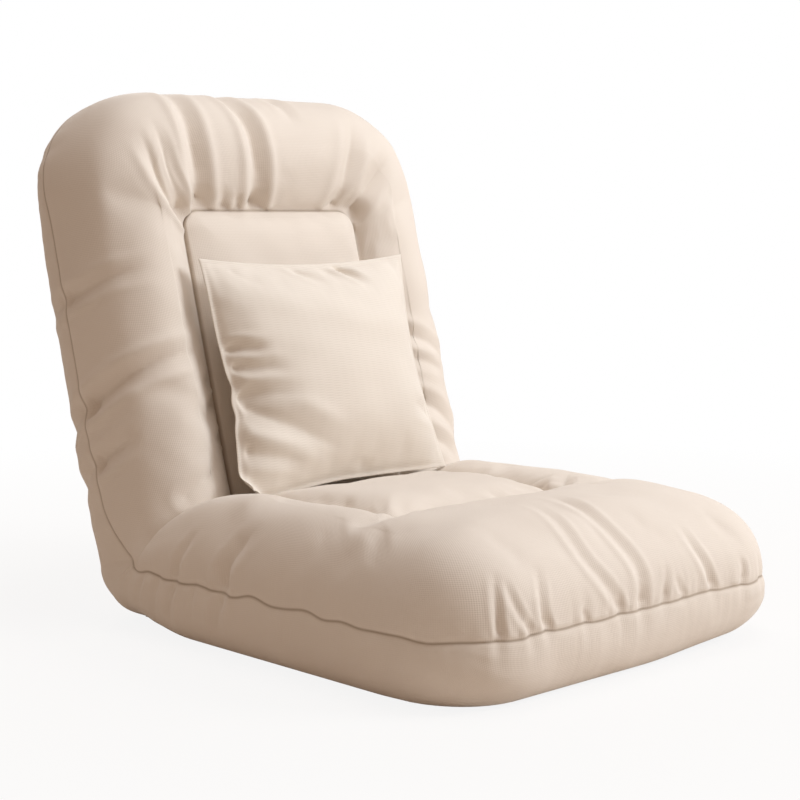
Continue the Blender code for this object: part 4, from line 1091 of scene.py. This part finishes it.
def pull_plate():
    """A plate round one long hole: a ring whose section runs between the plate's outline and the hole's, both
    stadiums, at half + half * sign(cos) * |cos|^0.5, and is 1.4 mm thick with round edges."""
    round_, section = np.meshgrid(
        np.linspace(0, 2 * np.pi, 56, endpoint=False), np.linspace(0, 2 * np.pi, 16, endpoint=False)
    )

    def stadium(half_x, half_s, middle):
        x, s = np.cos(round_), np.sin(round_)
        return half_x * sharpened(x, 0.75), middle + (half_s - half_x) * np.tanh(3 * s) + half_x * s

    taper = 1 - 0.22 * ease((np.sin(round_) + 0.2) / 1.2)
    outer_x, outer_s = stadium(0.0030, 0.0119, 0.28266)
    inner_x, inner_s = stadium(0.0014, 0.0046, 0.27760)
    outwards = 0.5 + 0.5 * sharpened(np.cos(section), 0.5)
    x = inner_x + (outer_x * taper - inner_x) * outwards
    s = inner_s + (outer_s - inner_s) * outwards
    n = -0.0862 + 0.0007 * sharpened(np.sin(section), 0.5)
    return np.stack([SLIDER_X + x, s, n], -1).reshape(-1, 3), ring_faces(16, 56, closed_rows=True)


def outwards_faces(piece):
    """Merges each pole's points, closes the open ends of threads and turns every face outwards."""
    shape = bmesh.new()
    shape.from_mesh(piece.data)
    bmesh.ops.remove_doubles(shape, verts=shape.verts, dist=1e-6)
    bmesh.ops.holes_fill(shape, edges=[edge for edge in shape.edges if edge.is_boundary])
    bmesh.ops.recalc_face_normals(shape, faces=shape.faces)
    shape.to_mesh(piece.data)
    shape.free()


wear_finish(tape_cloth("zip_tape_weave", (0.62, 0.55, 0.47), (0.74, 0.67, 0.59), roughness=0.85), "zip_tape")
NYLON = tape_cloth("zip_nylon", (0.66, 0.59, 0.50), (0.70, 0.63, 0.54), roughness=0.42)
for name, shape, body, finish, zip_slot in (
    ("zip_coil", coil(), "back", NYLON, "zip_tape"),
    ("zip_stitches", stitches(), "back", NYLON, "zip_tape"),
    ("zip_slider_casting", slider_casting(), "zip_slider", ZINC_FINISH, "zinc_steel"),
    ("zip_pull_plate", pull_plate(), "zip_pull", ZINC_FINISH, "zinc_steel"),
):
    piece = mesh_of(name, back_place(shape[0]), shape[1])
    outwards_faces(piece)
    piece.data.materials.append(finish)
    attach(piece, body)
    if body != "back":
        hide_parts(body)

# Base cloth: a non-slip sheet of grey fabric with rubber dots, sewn flat under the seat, on which the chair stands.
BASE_HALF = 0.275
BASE_END = 0.635
BASE_CORNER = 0.06
BASE_LEVEL = -0.0870
BASE_THICKNESS = 0.0019


def grip_cloth():
    """Charcoal cloth with raised rubber dots at a 9 mm pitch, glossier than the cloth round them."""
    nodes = Nodes("grip_cloth")
    where = place_in_object(nodes)
    cells = nodes.add("TexVoronoi", {"Vector": where, "Scale": 110.0, "Randomness": 0.0})
    dot = nodes.between(cells, 1.0, 0.0, 0.22, 0.30)
    thread = nodes.noise(where, 1400.0, 2.0)
    height = nodes.math("ADD", dot, nodes.math("MULTIPLY", thread, 0.3))
    return nodes.finish(
        Base_Color=nodes.mix(dot, (0.34, 0.30, 0.26), (0.24, 0.21, 0.18)),
        Roughness=nodes.between(dot, 0.95, 0.55),
        Normal=nodes.bump(height, 0.5, 0.0006),
    )


def base_sheet():
    """A flat grid with round far corners, that follows the cover's rounder sides up towards the crease."""
    x_line = np.linspace(-BASE_HALF, BASE_HALF, 60)
    s_line = np.linspace(HINGE_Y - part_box("seat_base_cloth")[1][1] + 0.0005, BASE_END, 66)
    x, s = into_rounds(*np.meshgrid(x_line, s_line), BASE_HALF, BASE_END, BASE_CORNER)
    lift = SEAT_DEPTH * (1 - swell(HALF_WIDTH - np.abs(x), BACK_ROUND, SIDE_FULLNESS))
    return np.stack([x, s, lift * ease((NEAR_CREASE - s) / NEAR_CREASE) + BASE_LEVEL], -1)


local = base_sheet()
base = skin("base_sheet", seat_place(local), local[..., :2])
thickened(base, BASE_THICKNESS)
base.data.materials.append(grip_cloth())
bend_with_both(base)
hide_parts("seat_base_cloth")

# Studio: a pale floor under a warm white surround, both pure white to the camera, with a large soft lamp to the
# right of the camera, one overhead and a weaker one at the right rear, all a little cool.
FLOOR_REACH = 12.0
FLOOR_CREAM = (0.74, 0.67, 0.60)
SURROUND = (1.0, 0.76, 0.60)
WHITE = (1.0, 1.0, 1.0)


def seen_directly(nodes):
    """1 for rays from the camera, from a mirror or through glass, and 0 for light that bounces."""
    path = nodes.add("LightPath")
    seen = nodes.math("MAXIMUM", path.node.outputs["Is Camera Ray"], path.node.outputs["Is Glossy Ray"])
    return nodes.math("MAXIMUM", seen, path.node.outputs["Is Transmission Ray"])


corners = np.array([(-1, -1, 0), (1, -1, 0), (1, 1, 0), (-1, 1, 0)])
floor = mesh_of("studio_floor", FLOOR_REACH * corners, np.array([[0, 1, 2, 3]]))
ground = Nodes("studio_floor")
glow = ground.add("Emission", {"Color": WHITE})
from_middle = ground.add("VectorMath", {0: place_in_object(ground)}, output=1, operation="LENGTH")
share = ground.between(from_middle, 0.88, 1.0, 0.6, 2.0)
white_share = ground.math("MULTIPLY", seen_directly(ground), share)
faded = ground.add("MixShader", {0: white_share, 1: ground.shader.outputs[0], 2: glow})
ground.feed(ground.tree.nodes["Material Output"].inputs["Surface"], faded)
floor.data.materials.append(ground.finish(Base_Color=FLOOR_CREAM, Roughness=1.0, Specular_IOR_Level=0.0))

sky = Nodes("studio", bpy.data.worlds)
around = sky.add("Background", {"Color": SURROUND, "Strength": 0.38})
backdrop = sky.add("Background", {"Color": WHITE, "Strength": 1.0})
either = sky.add("MixShader", {0: seen_directly(sky), 1: around, 2: backdrop})
sky.feed(sky.tree.nodes["World Output"].inputs["Surface"], either)
scene.world = sky.material


def lamp(name, place, aim, size, power, colour):
    """A square area lamp at place, turned towards aim."""
    data = bpy.data.lights.new(name, "AREA")
    data.size, data.energy, data.color = size, power, colour
    obj = bpy.data.objects.new(name, data)
    obj.location = place
    way = np.array(aim) - np.array(place)
    pitch = np.arctan2(np.hypot(way[0], way[1]), -way[2])
    obj.rotation_euler = (pitch, 0.0, np.arctan2(-way[0], way[1]))
    scene.collection.objects.link(obj)


lamp("key_lamp", (1.9, -2.4, 2.0), (0.0, 0.0, 0.30), 1.2, 79.0, (0.88, 0.94, 1.0))
lamp("rear_lamp", (1.1, 2.5, 1.5), (0.0, 0.4, 0.35), 1.0, 22.0, (0.92, 0.96, 1.0))
lamp("top_lamp", (0.4, -0.4, 3.0), (0.0, 0.0, 0.20), 1.6, 32.0, (0.92, 0.96, 1.0))

# Camera: at the photograph's height and side, looking slightly down.
lens = bpy.data.cameras.new("camera")
lens.lens, lens.sensor_width = 77.36, 36.0
camera = bpy.data.objects.new("camera", lens)
camera.location = (-1.685, -1.7834, 0.574)
camera.rotation_euler = (np.radians(90 - 6.09), 0.0, np.radians(-43.7))
scene.collection.objects.link(camera)
scene.camera = camera
scene.view_settings.view_transform = "Standard"


def plain(box):
    return [[float(value) for value in corner] for corner in box]
